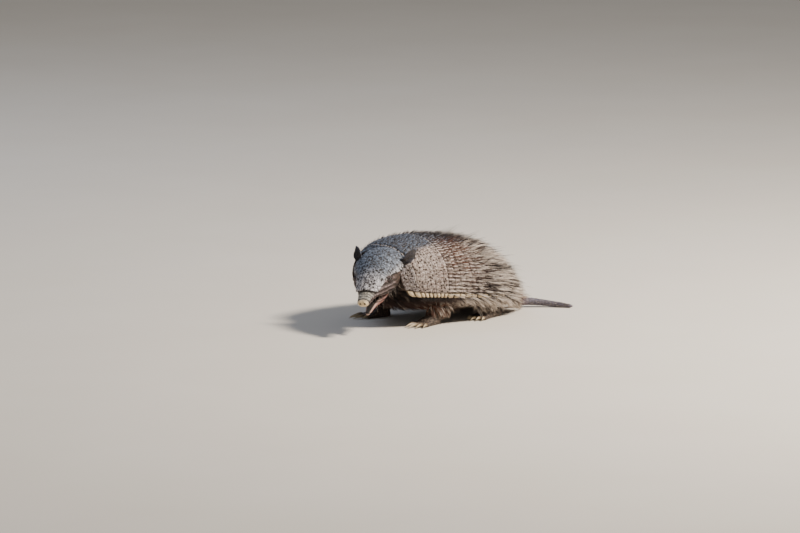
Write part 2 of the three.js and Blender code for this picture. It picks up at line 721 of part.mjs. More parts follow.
function addLeg({ name, fore, root, foot, turn }) {
  const hand = Math.sign(root[1]);
  const sections = fore ? FORE_PAW : HIND_PAW;
  const toes = fore ? FORE_TOES : HIND_TOES;
  const front = sections.at(-1).at;
  const footFrame = frameAt(besideSpine(foot[0], foot[1], 0), turn);
  const paw = groupIn(footFrame);

  let solid = asSolid(onFloor(pawGeometry(sections, 0)), IN_BODY);
  toes.forEach((toe, i) => {
    const { base, reach } = toeFrame(toe, hand, front);
    solid = solid.add(asSolid(toeGeometry(reach), base));
    const clawFrame = base.clone().multiply(new THREE.Matrix4().makeTranslation(0, -reach - SLIT, 0));
    const claw = clawGeometry(toe.claw).applyMatrix4(clawFrame);
    add(`${name.replace("leg", "claw")}_${i + 1}`, claw, CLAW_HORN, paw);
  });
  add(name.replace("leg", "foot"), asGeometry(solid), HIDE, paw);

  const pawCutter = asSolid(pawGeometry(sections, CUT), footFrame);
  const { wide, deep, kneeBack, kneeOut, ankleBack } = fore ? FORELEG : HINDLEG;
  const ankle = besideSpine(foot[0] + ankleBack, foot[1], LEG.ankleHeight);
  const kneeAlong = lerp(root[0], foot[0], 0.5) + kneeBack;
  const knee = besideSpine(kneeAlong, root[1] + hand * kneeOut, LEG.kneeHeight);
  const line = new THREE.CatmullRomCurve3([besideSpine(...root), knee, ankle]);
  const leg = tube(line, wide, deep, LEG.sides, LEG.steps);
  add(name, cutBy(leg, IN_BODY, torsoCutter, pawCutter), FUR);
}

function addTail() {
  const line = new THREE.CatmullRomCurve3(TAIL_LINE.map((point) => besideSpine(...point)));
  const parting = line.getPoint(TAIL.partAt);
  const ahead = line.getTangent(TAIL.partAt);
  const whole = mainPiece(
    asSolid(onFloor(tube(line, TAIL_RADII, TAIL_RADII, TAIL.sides, TAIL.steps)), IN_BODY)
      .subtract(trunkCutter)
      .subtract(armourCutter),
  );
  const reach = ahead.dot(parting);
  const back = [-ahead.x, -ahead.y, -ahead.z];
  add("tail_base", asGeometry(whole.trimByPlane(back, -reach + SLIT / 2)), HORN);
  add("tail_tip", asGeometry(whole.trimByPlane(ahead.toArray(), reach + SLIT / 2)), HORN);
}

addCarapace();
addHead();
LEGS.forEach(addLeg);
addTail();

export default armadillo;
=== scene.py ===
"""A hairy armadillo at life size: skin, armour, coat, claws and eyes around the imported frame.

Sizes are in millimetres, and a mesh is turned into metres as it is made. X is the animal's left, Y runs from
head to tail and Z is up. A place on the armour is `along`, the distance behind the nape, and `around`, which
is -1 at the right rim, 0 on the crown of the back and 1 at the left rim.
"""

from __future__ import annotations

import logging
import math
import sys
from collections.abc import Callable, Sequence
from dataclasses import dataclass, field, replace
from enum import Enum

import bmesh
import bpy
import numpy as np
from mathutils import Matrix

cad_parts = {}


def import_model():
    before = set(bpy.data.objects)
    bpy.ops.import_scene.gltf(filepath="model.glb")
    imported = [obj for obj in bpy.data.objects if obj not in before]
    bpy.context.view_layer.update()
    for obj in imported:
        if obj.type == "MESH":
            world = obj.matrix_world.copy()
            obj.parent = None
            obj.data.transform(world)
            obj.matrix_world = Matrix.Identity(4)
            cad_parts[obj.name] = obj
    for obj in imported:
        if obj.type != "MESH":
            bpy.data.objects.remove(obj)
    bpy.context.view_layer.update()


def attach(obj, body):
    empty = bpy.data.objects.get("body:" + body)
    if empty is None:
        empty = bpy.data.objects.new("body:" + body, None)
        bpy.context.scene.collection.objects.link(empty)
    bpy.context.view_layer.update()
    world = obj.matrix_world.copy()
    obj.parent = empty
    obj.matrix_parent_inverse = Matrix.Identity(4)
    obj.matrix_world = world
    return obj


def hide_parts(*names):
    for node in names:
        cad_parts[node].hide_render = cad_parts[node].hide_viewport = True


Array = np.ndarray
Piece = bpy.types.Object
Socket = bpy.types.NodeSocket
Edge = Callable[[Array], Array]
Numbers = Sequence[float]
log = logging.getLogger("armadillo")

MM = 0.001


# ---------------------------------------------------------------- numbers


def ease(low: float, high: float, value: Array) -> Array:
    """0 at `low`, 1 at `high`, held beyond them, and 3t^2 - 2t^3 between them."""
    t = np.clip((value - low) / (high - low), 0.0, 1.0)
    return t * t * (3.0 - 2.0 * t)


def bump(middle: float, spread: float, value: Array) -> Array:
    """A bell of height 1 about `middle`: exp(-((value - middle) / spread)^2)."""
    return np.exp(-(((value - middle) / spread) ** 2))


def norm(vectors: Array) -> Array:
    """The lengths of vectors."""
    return np.linalg.norm(vectors, axis=-1)


def unit(vectors: Array) -> Array:
    """The same directions at length 1."""
    return vectors / np.maximum(norm(vectors)[..., None], 1e-9)


def xyz(x: Array, y: Array, z: Array) -> Array:
    """Points from three grids of coordinates that fit one another."""
    return np.stack(np.broadcast_arrays(x, y, z), axis=-1)


def circle(sides: int) -> Array:
    """Angles once round, evenly apart."""
    return np.linspace(0, 2 * math.pi, sides, endpoint=False)


def spaced(low: float, high: float, step: float) -> Array:
    """Numbers from low to high, about `step` apart."""
    return np.linspace(low, high, max(3, round((high - low) / step) + 1))


def ripple(phase: Array) -> Array:
    """The height of folds, 0 in the crease and 1 on the ridge: |sin(phase)|."""
    return np.abs(np.sin(phase))


SCATTER_FACTORS = (12.9898, 78.233, 37.719, 53.117)
SCATTER_SIZE = 43758.5453


def scatter(*keys: Array) -> Array:
    """A repeatable number in 0..1 for whole-number keys: the fraction of a large sine of their sum."""
    total = sum(np.asarray(key) * factor for key, factor in zip(keys, SCATTER_FACTORS))
    return np.modf(np.abs(np.sin(total)) * SCATTER_SIZE)[0]


def noise(points: Array, size: float, seed: int = 0) -> Array:
    """Smooth noise in -1..1: random numbers at the corners of cubes of that size, blended between them.

    Args:
        points: places, whose last axis is x, y and z.
        size: side of a cube.
        seed: another seed gives another noise.
    Returns:
        One number for each place.
    """
    scaled = points / size
    corner = np.floor(scaled)
    t = scaled - corner
    t = t * t * (3.0 - 2.0 * t)
    total = np.zeros(points.shape[:-1])
    for step in np.ndindex(2, 2, 2):
        keys = corner + step
        weight = np.prod(np.where(np.array(step) == 1, t, 1.0 - t), axis=-1)
        total += weight * scatter(keys[..., 0], keys[..., 1], keys[..., 2], np.float64(seed))
    return 2.0 * total - 1.0


FAR = 9.0


class Nearest:
    """The two nearest centres met so far at each point, and what the nearest one holds."""

    def __init__(self, shape: tuple[int, ...], values: int) -> None:
        """Starts with nothing nearer than FAR."""
        self.first, self.second = np.full(shape, FAR), np.full(shape, FAR)
        self.held = np.zeros((values, *shape))

    def meet(self, distance: Array, *values: Array) -> None:
        """Takes in one more centre for each point."""
        nearer = distance < self.first
        self.second = np.where(nearer, self.first, np.minimum(self.second, distance))
        self.first = np.where(nearer, distance, self.first)
        self.held = np.where(nearer, np.stack(values), self.held)


def cells(points: Array, size: float, seed: int = 0) -> tuple[Array, Array, Array]:
    """Pebbles packed in space, each around one jittered point in a cube.

    Args:
        points: places, one in each row.
        size: side of a cube.
        seed: another seed gives another packing.
    Returns:
        The distances to the nearest border and to the pebble's middle, in cube sides, and its random number.
    """
    scaled = points / size
    home = np.floor(scaled)
    nearest = Nearest((len(points),), 1)
    for step in np.ndindex(3, 3, 3):
        cube = home + np.array(step) - 1.0
        keys = cube[:, 0], cube[:, 1], cube[:, 2]
        offset = np.stack([scatter(*keys, np.float64(seed + k)) for k in range(3)], axis=1)
        nearest.meet(norm(cube + 0.15 + 0.7 * offset - scaled), offset[:, 0])
    return (nearest.second - nearest.first) / 2.0, nearest.first, nearest.held[0]


@dataclass(frozen=True)
class Curve:
    """A smooth curve through given places, held level beyond its ends."""

    at: Numbers
    value: Numbers

    def __call__(self, x: Array) -> Array:
        """Cubic Hermite blend between neighbours, whose slopes are those of the chords across them."""
        xs, ys = np.asarray(self.at, float), np.asarray(self.value, float)
        count = len(xs)
        before = np.maximum(np.arange(count) - 1, 0)
        after = np.minimum(np.arange(count) + 1, count - 1)
        slopes = (ys[after] - ys[before]) / (xs[after] - xs[before])
        x = np.clip(x, xs[0], xs[-1])
        i = np.clip(np.searchsorted(xs, x, side="right") - 1, 0, count - 2)
        span = xs[i + 1] - xs[i]
        t = (x - xs[i]) / span
        bend = span * t * (1 - t) * ((1 - t) * slopes[i] - t * slopes[i + 1])
        return ys[i] + (ys[i + 1] - ys[i]) * t * t * (3 - 2 * t) + bend


def turned(yaw: float = 0.0, pitch: float = 0.0, roll: float = 0.0) -> Array:
    """The turn that rolls about Y, then pitches about X, then yaws about Z, in degrees."""
    z, x, y = (math.radians(angle) for angle in (yaw, pitch, roll))
    about_z = np.array([[math.cos(z), -math.sin(z), 0], [math.sin(z), math.cos(z), 0], [0, 0, 1]])
    about_x = np.array([[1, 0, 0], [0, math.cos(x), -math.sin(x)], [0, math.sin(x), math.cos(x)]])
    about_y = np.array([[math.cos(y), 0, math.sin(y)], [0, 1, 0], [-math.sin(y), 0, math.cos(y)]])
    return about_z @ about_x @ about_y


@dataclass(frozen=True)
class Place:
    """A frame of its own: a turn and the place of its origin."""

    turn: Array
    at: Array

    def out(self, points: Array) -> Array:
        """Points of this frame in the frame that holds it."""
        return points @ self.turn.T + self.at

    def into(self, points: Array) -> Array:
        """Points of the frame that holds it, in this frame."""
        return (points - self.at) @ self.turn


# ---------------------------------------------------------------- the animal's form


ROUNDNESS = 0.92


def bow(value: Array) -> Array:
    """A rounded power that keeps its sign: sign(v) |v|^ROUNDNESS."""
    return np.sign(value) * np.abs(value) ** ROUNDNESS


@dataclass(frozen=True)
class Spine:
    """The spine seen from above: an arc about a point on the animal's left."""

    radius: float = 760.0
    middle: float = 108.0
    origin: tuple[float, float] = (-5.45, 5.8)

    def place(self, along: Array, side: Array, height: Array) -> Array:
        """Points `side` to the left of the spine: R(1 - cos t) + s cos t, (R - s) sin t."""
        along, side, height = np.broadcast_arrays(*(np.asarray(a, float) for a in (along, side, height)))
        turn = (along - self.middle) / self.radius
        x = self.radius * (1 - np.cos(turn)) + side * np.cos(turn) + self.origin[0]
        y = (self.radius - side) * np.sin(turn) + self.origin[1]
        return np.stack([x, y, height], axis=-1)

    def find(self, points: Array) -> tuple[Array, Array]:
        """How far along and beside the spine given points are."""
        x = self.radius - (points[..., 0] - self.origin[0])
        y = points[..., 1] - self.origin[1]
        return self.middle + self.radius * np.arctan2(y, x), self.radius - np.hypot(x, y)

    def rearward(self, points: Array) -> Array:
        """The way along the spine at given points, on the level."""
        along, side = self.find(points)
        return self.place(along + 1, side, 0) - self.place(along, side, 0)


SECTIONS = (-10, 16, 60, 105, 145, 180, 204, 218)


@dataclass(frozen=True)
class Carapace:
    """The family of cross-sections that the armour and the trunk share."""

    spine: Spine = Spine()
    half_width: Curve = Curve(SECTIONS, (43, 60, 72, 75, 72, 60, 42, 27))
    top: Curve = Curve(SECTIONS, (98, 110.5, 114, 108, 97, 77, 53, 33))
    rim: Curve = Curve(SECTIONS, (48, 42, 38, 34, 30, 24, 18, 14))
    belly: Curve = Curve(SECTIONS, (44, 22, 14, 11, 10, 10, 11, 12))
    wrap: float = math.radians(102)
    widest: float = 0.2
    rim_tuck: float = 4.0
    plate: float = 2.4
    front_crown: float = -7.0
    front_flank: float = 3.0
    front_rim: float = 13.0
    nape_crown: float = 12.0
    nape_flank: float = 17.0
    rear_crown: float = 217.0
    rear_rim: float = 9.0
    shoulder_end: float = 62.0
    band_count: int = 7
    band_length: float = 10.5

    def shell(self, along: Array, around: Array, depth: Array) -> Array:
        """A point `depth` under the armour's outside: a rounded ellipse down to its widest line, then a tuck.

        Args:
            along: distance behind the nape.
            around: -1 to 1 from rim to rim.
            depth: how far inside the outer surface.
        Returns:
            The points, with one more axis for x, y and z.
        """
        along, around, depth = np.broadcast_arrays(*(np.asarray(a, float) for a in (along, around, depth)))
        angle = np.abs(around) * self.wrap
        quarter = math.pi / 2
        half = self.half_width(along) - depth
        rim, top = self.rim(along), self.top(along)
        widest = rim + self.widest * (top - rim)
        upper = np.minimum(angle, quarter)
        tuck = np.clip((angle - quarter) / (self.wrap - quarter), 0, None) * quarter
        side = half * bow(np.sin(upper)) - self.rim_tuck * (1 - np.cos(tuck))
        height = widest + (top - depth - widest) * bow(np.cos(upper))
        height = np.where(angle <= quarter, height, widest - (widest - rim) * np.sin(tuck))
        return self.spine.place(along, np.sign(around) * side, height)

    def front(self, around: Array) -> Array:
        """The armour's front edge: under the head shield at the nape, and back again at the rim."""
        flank = np.abs(around)
        edge = self.front_crown + self.front_flank * np.minimum(flank / 0.72, 1)
        return edge + self.front_rim * np.maximum(0, (flank - 0.75) / 0.25) ** 2.2

    def nape_end(self, around: Array) -> Array:
        """The rear edge of the nape band."""
        share = np.minimum(1, np.abs(around) / 0.7)
        return self.front(around) + self.nape_crown + (self.nape_flank - self.nape_crown) * share

    def rear(self, around: Array) -> Array:
        """The rear edge of the pelvic shield."""
        return self.rear_crown - self.rear_rim * around**2

    def band_edge(self, number: int) -> float:
        """Where a movable band starts, counted from 0."""
        return self.shoulder_end + number * self.band_length

    def flesh_depth(self, along: Array) -> Array:
        """How far the flesh lies under the armour's outside. It draws in at the neck and the tail."""
        neck = np.maximum(0, 14 - along) / 24
        tail = np.maximum(0, along - 202) / 8
        return self.plate + 0.7 + 26 * neck**2 + 5 * tail**2


BODY = Carapace()
SPINE = BODY.spine


# ---------------------------------------------------------------- meshes


def volume(points: Array, faces: Sequence[Array]) -> float:
    """The space inside closed faces, negative where they are inside out: a . (b x c) / 6 over their fans."""
    total = 0.0
    for face in faces:
        first = points[face[:, 0]]
        for k in range(1, face.shape[1] - 1):
            total += float(np.sum(first * np.cross(points[face[:, k]], points[face[:, k + 1]]))) / 6
    return total


def add_piece(name: str, points: Array, faces: Sequence[Array]) -> Piece:
    """Makes a smooth mesh object from points in millimetres.

    Args:
        name: the piece's name.
        points: places, in any grid shape whose last axis is x, y and z.
        faces: arrays of corner numbers, one array for each number of corners.
    Returns:
        The new object, whose place is in its mesh.
    """
    points = points.reshape(-1, 3)
    if volume(points, faces) < 0:
        faces = [face[:, ::-1] for face in faces]
    points = np.ascontiguousarray(points * MM, dtype=np.float32)
    corners = np.concatenate([face.ravel() for face in faces]).astype(np.int32)
    sizes = np.concatenate([np.full(len(face), face.shape[1]) for face in faces])
    starts = np.concatenate([[0], np.cumsum(sizes)[:-1]]).astype(np.int32)
    mesh = bpy.data.meshes.new(name)
    mesh.vertices.add(len(points))
    mesh.vertices.foreach_set("co", points.ravel())
    mesh.loops.add(len(corners))
    mesh.loops.foreach_set("vertex_index", corners)
    mesh.polygons.add(len(starts))
    mesh.polygons.foreach_set("loop_start", starts)
    mesh.polygons.foreach_set("use_smooth", np.full(len(starts), True))
    mesh.update(calc_edges=True)
    mesh.validate()
    piece = bpy.data.objects.new(name, mesh)
    bpy.context.scene.collection.objects.link(piece)
    return piece


def set_fields(piece: Piece, fields: dict[str, Array]) -> None:
    """Stores numbers for each vertex by name, for a material to read."""
    for name, values in fields.items():
        attribute = piece.data.attributes.new(name, "FLOAT", "POINT")
        attribute.data.foreach_set("value", np.ascontiguousarray(values.ravel(), dtype=np.float32))


def vertex_places(piece: Piece) -> Array:
    """The places of a mesh's vertices in millimetres."""
    flat = np.empty(len(piece.data.vertices) * 3, dtype=np.float32)
    piece.data.vertices.foreach_get("co", flat)
    return flat.reshape(-1, 3).astype(float) / MM


def vertex_normals(piece: Piece) -> Array:
    """The outward directions at a mesh's vertices."""
    flat = np.empty(len(piece.data.vertices) * 3, dtype=np.float32)
    piece.data.vertex_normals.foreach_get("vector", flat)
    return flat.reshape(-1, 3).astype(float)


def grid_faces(rows: int, columns: int, closed: bool = False) -> Array:
    """The quads of a grid of points, row by row. A closed grid joins its last column to its first."""
    across = columns if closed else columns - 1
    row, column = np.meshgrid(np.arange(rows - 1), np.arange(across), indexing="ij")
    beside = (column + 1) % columns
    a, b = row * columns + column, row * columns + beside
    return np.stack([a, b, b + columns, a + columns], axis=-1).reshape(-1, 4)


def grid_normals(grid: Array) -> Array:
    """Normals of a grid of points: the cross product of its steps across and along."""
    return unit(np.cross(np.gradient(grid, axis=1), np.gradient(grid, axis=0)))


def loft(rings: Array) -> tuple[Array, list[Array]]:
    """The points and faces of a tube through rings of points, closed by a face at each end."""
    count, sides = rings.shape[:2]
    ring = np.arange(sides)
    ends = np.stack([ring[::-1], ring + (count - 1) * sides])
    return rings.reshape(-1, 3), [grid_faces(count, sides, closed=True), ends]


def path(points: Sequence[Numbers], steps: int) -> tuple[Array, Array]:
    """A smooth line through a few points, and each new point's share of its length."""
    through = np.asarray(points, float)
    reach = np.concatenate([[0], np.cumsum(norm(np.diff(through, axis=0)))])
    share = np.linspace(0, 1, steps)
    line = np.stack([Curve(reach, through[:, k])(share * reach[-1]) for k in range(3)], axis=1)
    return line, share


def tube(line: Array, wide: Array, tall: Array, sides: int) -> Array:
    """Rings across a line: c + w cos(a) left + h sin(a) up, where left is level."""
    ahead = unit(np.gradient(line, axis=0))
    left = np.cross([0.0, 0.0, 1.0], ahead)
    left = unit(np.where(norm(left)[:, None] < 0.3, [1.0, 0.0, 0.0], left))
    up = unit(np.cross(ahead, left))
    angle = circle(sides)
    across = np.multiply.outer(wide, np.cos(angle))[..., None] * left[:, None]
    return line[:, None] + across + np.multiply.outer(tall, np.sin(angle))[..., None] * up[:, None]


# ---------------------------------------------------------------- scutes


class ScuteStyle(Enum):
    """How the figure on a scute is cut."""

    BAND = "band"
    SHIELD = "shield"


@dataclass(frozen=True)
class ScuteField:
    """What the scutes give at each point of a plate."""

    height: Array
    groove: Array
    raised: Array
    tone: Array
    margin: Array


@dataclass(frozen=True)
class ScuteRows:
    """Rows of scutes across a plate, counted from its front edge, each with a whole number up to the rim."""

    style: ScuteStyle
    rows: int
    length: float
    width: float = 5.0
    margin: float = 8.0
    stagger: float = 0.0
    shift: float = 0.0
    jitter: float = 0.0
    squareness: float = 4.0

    def lay(self, row: Array, share: Array, reach: Array) -> ScuteField:
        """Finds each point's scute as the nearest centre, by a rounded square's measure.

        Args:
            row: how many rows from the front edge.
            share: signed share of the way from the midline to the rim, -1 to 1.
            reach: how far the rim is from the midline in each row.
        Returns:
            The relief and the masks.
        """
        counts = np.maximum(2, np.round((reach - self.margin) / self.width - 0.5)) + 1
        nearest = Nearest(row.shape, 4)
        away, power = np.abs(share), self.squareness
        fade = 1 - ease(0.55, 0.8, away)
        wander = self.jitter * (1 - ease(0.8, 0.95, away))
        for step, beside in np.ndindex(3, 3):
            number = np.floor(row) + step - 1
            line = np.clip(number, 0, self.rows - 1).astype(int)
            count = counts[line] + 0.5
            inner = 1 - self.margin / reach[line]
            place = np.where(away < inner, away / inner * (count - 1), count - (1 - away) / (1 - inner))
            place = np.sign(share) * place
            odd = self.stagger * (number % 2) + self.shift
            key = np.floor(place - odd + 0.5) + odd + beside - 1
            centre = key - np.sign(key) * odd * (1 - fade)
            x = 2 * (place - centre - wander * (scatter(number, key) - 0.5))
            y = 2 * (row - number - 0.5 - wander * (scatter(number, key, 7.0) - 0.5))
            distance = (np.abs(x) ** power + np.abs(y) ** power) ** (1 / power)
            inside = (number >= 0) & (number < self.rows) & (np.abs(key) < count + odd)
            last = (np.abs(key) > count - 1 + odd * 0.5).astype(float)
            nearest.meet(np.where(inside, distance, FAR), x, y, scatter(number, key, 3.0), last)
        x, y, tone, margin = nearest.held
        border = (np.minimum(nearest.second, 2.5) - nearest.first) * self.width / 4
        height, groove, raised = self.carve(x, y, border, tone)
        edge = np.minimum(border, (1 - np.abs(y)) * self.length / 2)
        pillow, gap = ease(0.3, 2.4, edge), 1 - ease(0.2, 1.1, edge)
        height = np.where(margin > 0.5, 1.2 * pillow - 0.8 * gap, height)
        groove = np.where(margin > 0.5, gap, groove)
        return ScuteField(height, groove, np.maximum(raised, pillow * margin), tone, margin)

    def carve(self, x: Array, y: Array, border: Array, tone: Array) -> tuple[Array, Array, Array]:
        """The figure on a scute: a raised middle, a furrow, beads beyond that and two hair pits behind.

        Args:
            x: -1 to 1 across the scute.
            y: -1 to 1 from its front to its rear.
            border: distance to the scute's border.
            tone: the scute's random number.
        Returns:
            The height, how deep in a groove and how raised each point is.
        """
        groove = 1 - ease(0.1, 0.7, border)
        if self.style is ScuteStyle.BAND:
            keel = ease(0.55, 0.26, np.abs(x))
            furrow = bump(0.54, 0.14, np.abs(x))
            bead = bump(0.84, 0.24, np.abs(x)) * (0.4 + 0.6 * np.sin(2 * math.pi * (y + 0.1)) ** 2)
        else:
            figure = np.hypot(x / 0.5, (y - 0.12) / 0.5)
            keel = ease(1.1, 0.5, figure)
            furrow = bump(1.15, 0.2, figure)
            turn = np.arctan2((y - 0.12) * self.length, x * self.width)
            bead = ease(1.25, 1.5, figure) * np.cos(3.5 * turn) ** 2
        pit = bump(0.52, 0.27, np.abs(x)) * bump(0.74, 0.2, y) * ease(0.1, 0.3, tone)
        bead = 0.8 * bead * (1 - groove)
        height = 0.5 * keel + 0.5 * bead - 0.3 * furrow - 0.55 * pit - 0.55 * groove
        dark = np.maximum(np.maximum(groove, 0.75 * furrow), pit)
        return height, dark, np.maximum(keel, bead) * (1 - pit)


# ---------------------------------------------------------------- armour


@dataclass(frozen=True)
class Arcs:
    """Distances over the armour from the crown of the back towards the rim."""

    first: float
    apart: float
    arounds: Array
    lengths: Array

    @classmethod
    def measure(cls) -> Arcs:
        """Adds up the steps of the shell's cross-sections: sum |p(k + 1) - p(k)|."""
        alongs, arounds = np.linspace(SECTIONS[0], SECTIONS[-1], 77), np.linspace(0, 1, 161)
        steps = norm(np.diff(BODY.shell(alongs[:, None], arounds, 0.0), axis=1))
        lengths = np.concatenate([np.zeros((len(alongs), 1)), np.cumsum(steps, axis=1)], axis=1)
        return cls(alongs[0], alongs[1] - alongs[0], arounds, lengths)

    def length(self, along: Array, around: Array) -> Array:
        """The distance from the crown, blended between the four nearest measured ones."""
        rows, columns = (count - 1 for count in self.lengths.shape)
        row = np.clip((along - self.first) / self.apart, 0, rows - 0.001)
        column = np.clip(np.abs(around) * columns, 0, columns - 0.001)
        i, j = row.astype(int), column.astype(int)
        s, t = row - i, column - j
        near = self.lengths[i, j] * (1 - t) + self.lengths[i, j + 1] * t
        far = self.lengths[i + 1, j] * (1 - t) + self.lengths[i + 1, j + 1] * t
        return near * (1 - s) + far * s

    def to_rim(self, along: Array) -> Array:
        """The distance from the crown to the rim."""
        return self.length(along, np.ones(np.shape(along)))

    def spread(self, along: float, step: float) -> Array:
        """Places from rim to rim whose steps have equal lengths at one cross-section."""
        lengths = self.length(np.full(len(self.arounds), along), self.arounds)
        half = np.interp(spaced(0, lengths[-1], step), lengths, self.arounds)
        return np.concatenate([-half[:0:-1], half])


@dataclass
class Roots:
    """Where tufts grow: places, outward directions, how the hair lies, and where each is on the unwrap."""

    points: Array
    normals: Array
    lies: Array
    patch: Array

    def kept(self, mask: Array) -> Roots:
        """The roots that a mask keeps."""
        return Roots(self.points[mask], self.normals[mask], self.lies[mask], self.patch[mask])


@dataclass(frozen=True)
class Plate:
    """One plate: its edges, its scutes, how worn its rear edge is, and whether it laps under the last."""

    name: str
    front: Edge
    rear: Edge
    scutes: ScuteRows
    worn: float = 0.3
    lapped: bool = True


def level(along: float) -> Edge:
    """An edge straight across the back."""
    return lambda around: np.full(np.shape(around), float(along))


@dataclass
class Armour:
    """The horny plates of the back: nape band, shoulder shield, movable bands and pelvic shield."""

    step: float = 0.52
    inner_rows: int = 3
    lap: float = 2.0
    lap_depth: float = 1.4
    rise: float = 2.4
    lip: float = 1.1
    rim_thickness: float = 2.2
    scallop: float = 1.5
    warp: float = 0.22
    granule: float = 3.8
    arcs: Arcs = field(default_factory=Arcs.measure)

    @staticmethod
    def plates() -> list[Plate]:
        """The plates from the nape to the rump."""
        nape, shoulder, pelvis = (
            ScuteRows(ScuteStyle.SHIELD, rows, length, stagger=0.5, jitter=jitter)
            for rows, length, jitter in ((2, 7.5, 0.2), (7, 6.8, 0.22), (12, 8.6, 0.2))
        )
        edges = [level(BODY.band_edge(number)) for number in range(BODY.band_count + 1)]
        found = [
            Plate("nape_band", BODY.front, BODY.nape_end, nape, worn=0.8, lapped=False),
            Plate("shoulder_shield", BODY.nape_end, edges[0], shoulder, worn=1.0),
        ]
        for number in range(BODY.band_count):
            shift = 0.5 * (number % 2)
            scutes = ScuteRows(ScuteStyle.BAND, 1, BODY.band_length, shift=shift, squareness=7.0)
            worn = 0.8 if number == 0 else 0.3
            found.append(Plate(f"band_{number + 1}", edges[number], edges[number + 1], scutes, worn))
        return [*found, Plate("pelvic_shield", edges[-1], BODY.rear, pelvis)]

    @staticmethod
    def row_share(along: Array, first: Array, last: Array) -> Array:
        """How far between two edges a place is, by distance over the surface at the middle of the flank."""
        alongs = np.linspace(SECTIONS[0], SECTIONS[-1], 229)
        steps = norm(np.diff(BODY.shell(alongs, 0.35, 0.0), axis=0))
        reach = np.concatenate([[0], np.cumsum(steps)])
        here, start, end = (np.interp(value, alongs, reach) for value in (along, first, last))
        return (here - start) / (end - start)

    def build(self) -> dict[str, Piece]:
        """Makes every plate and returns them by name."""
        return {plate.name: self.make(plate) for plate in self.plates()}

    def make(self, plate: Plate) -> Piece:
        """One plate: scutes outside and plain inside, as closed loops carried from rim to rim."""
        rows, lapped, middle = plate.scutes, float(plate.lapped), np.array(0.4)
        around = self.arcs.spread(float(plate.front(middle) + plate.rear(middle)) / 2, self.step)
        start, end = plate.front(around), plate.rear(around)
        lap = self.lap * lapped
        fine = 1.3 if rows.rows > 8 else 1.0
        t = spaced(0, 1, self.step / ((float(np.max(end - start)) + lap) * fine))[:, None]
        along = start - lap + t * (end - start + lap)
        behind = along - start
        clear = behind + 2 * (1 - lapped)
        depth = self.lap_depth * (1 - ease(-0.4, self.rise, behind)) * lapped
        depth = depth + 0.5 * ease(0.7, 0.0, end - along) ** 2
        depth = depth + 0.6 * (1 - lapped) * ease(0.8, 0.0, behind) ** 2
        outer = BODY.shell(along, around, depth)
        share = np.sign(around) * self.arcs.length(along, around) / self.arcs.to_rim(along)
        scutes, row = self.scutes(rows, outer, along, share, start, end)

        lobe = 1 - np.abs(2 * (row - np.floor(row)) - 1) ** 2.6
        rim = ease(0.9, 1.0, np.abs(share))
        outward = unit(np.gradient(outer, axis=1)) * np.sign(around)[:, None]
        normals = grid_normals(outer)
        relief = scutes.height * ease(-0.3, 1.2, clear) * (1 - rim**4 * 0.6)
        outer = outer + (rim * (lobe - 0.4) * self.scallop)[..., None] * outward + relief[..., None] * normals

        under = np.linspace(1, 0, self.inner_rows)[:, None]
        thick = self.lip + (self.rim_thickness - self.lip) * ease(0.86, 0.95, np.abs(around))
        inner_along = start - lap + 0.15 + under * (end - start + lap - 0.3)
        inner = BODY.shell(inner_along, around * 0.999, thick + self.lap_depth * (1 - under) * lapped)
        piece = add_piece(f"{plate.name}_horn", *loft(np.concatenate([outer, inner]).swapaxes(0, 1)))

        flank = np.abs(share) + 0.07 * noise(outer, 14.0, 7)
        # crest marks the slate along the top of the back, whose blue is painted sky sheen and whose darkness
        # is partly painted shade
        crest = Curve((-10, 5, 20, 62, 110, 200), (0.72, 0.6, 0.47, 0.36, 0.27, 0.18))(along)
        fields = {
            "groove": scutes.groove * ease(-0.3, 0.8, clear),
            "raised": scutes.raised,
            "tone": scutes.tone,
            "margin": scutes.margin,
            "edge": plate.worn * ease(2.0, 0.6, end - along) * (1 - 0.5 * scutes.groove),
            "crest": np.maximum(ease(crest + 0.08, crest - 0.1, flank), 0.4 * (1 - lapped)),
            "back": ease(48, 80, along + 60 * (flank - 0.4)) * ease(150, 100, along) * ease(0.9, 0.6, flank),
            "rear": ease(120, 160, along + 20 * flank),
        }
        inside = {key: values[-self.inner_rows :] for key, values in fields.items()}
        inside["groove"] = np.full((self.inner_rows, len(around)), 0.8)
        set_fields(piece, {key: np.concatenate([values, inside[key]]).T for key, values in fields.items()})
        log.info("%s: %d columns of %d points", plate.name, len(around), len(t))
        return piece

    def scutes(
        self, rows: ScuteRows, outer: Array, along: Array, share: Array, start: Array, end: Array
    ) -> tuple[ScuteField, Array]:
        """Lays a plate's scutes, a little warped everywhere but at the rim.

        Args:
            rows: the scutes.
            outer: the plate's smooth outside.
            along: how far along each of its points is.
            share: its signed share of the way to the rim.
            start: where the plate's front edge is in each column.
            end: where its rear edge is.
        Returns:
            The scutes, and how many rows from the front edge each point is.
        """
        row = np.clip(self.row_share(along, start, end), -0.2, 0.9999) * rows.rows
        calm = self.warp * (1 - ease(0.8, 0.93, np.abs(share)))
        drift = calm * noise(outer, 11.0, 5) * rows.width / self.arcs.to_rim(along)
        row = np.clip(row + calm * min(rows.rows - 1, 1) * noise(outer, 9.0, 6), -0.2, rows.rows - 0.001)
        middles = np.interp((np.arange(rows.rows) + 0.5) / rows.rows, [0, 1], [start.mean(), end.mean()])
        found = rows.lay(row, share + drift, self.arcs.to_rim(middles))
        return (self.pitted(found, outer) if rows.style is ScuteStyle.SHIELD else found), row

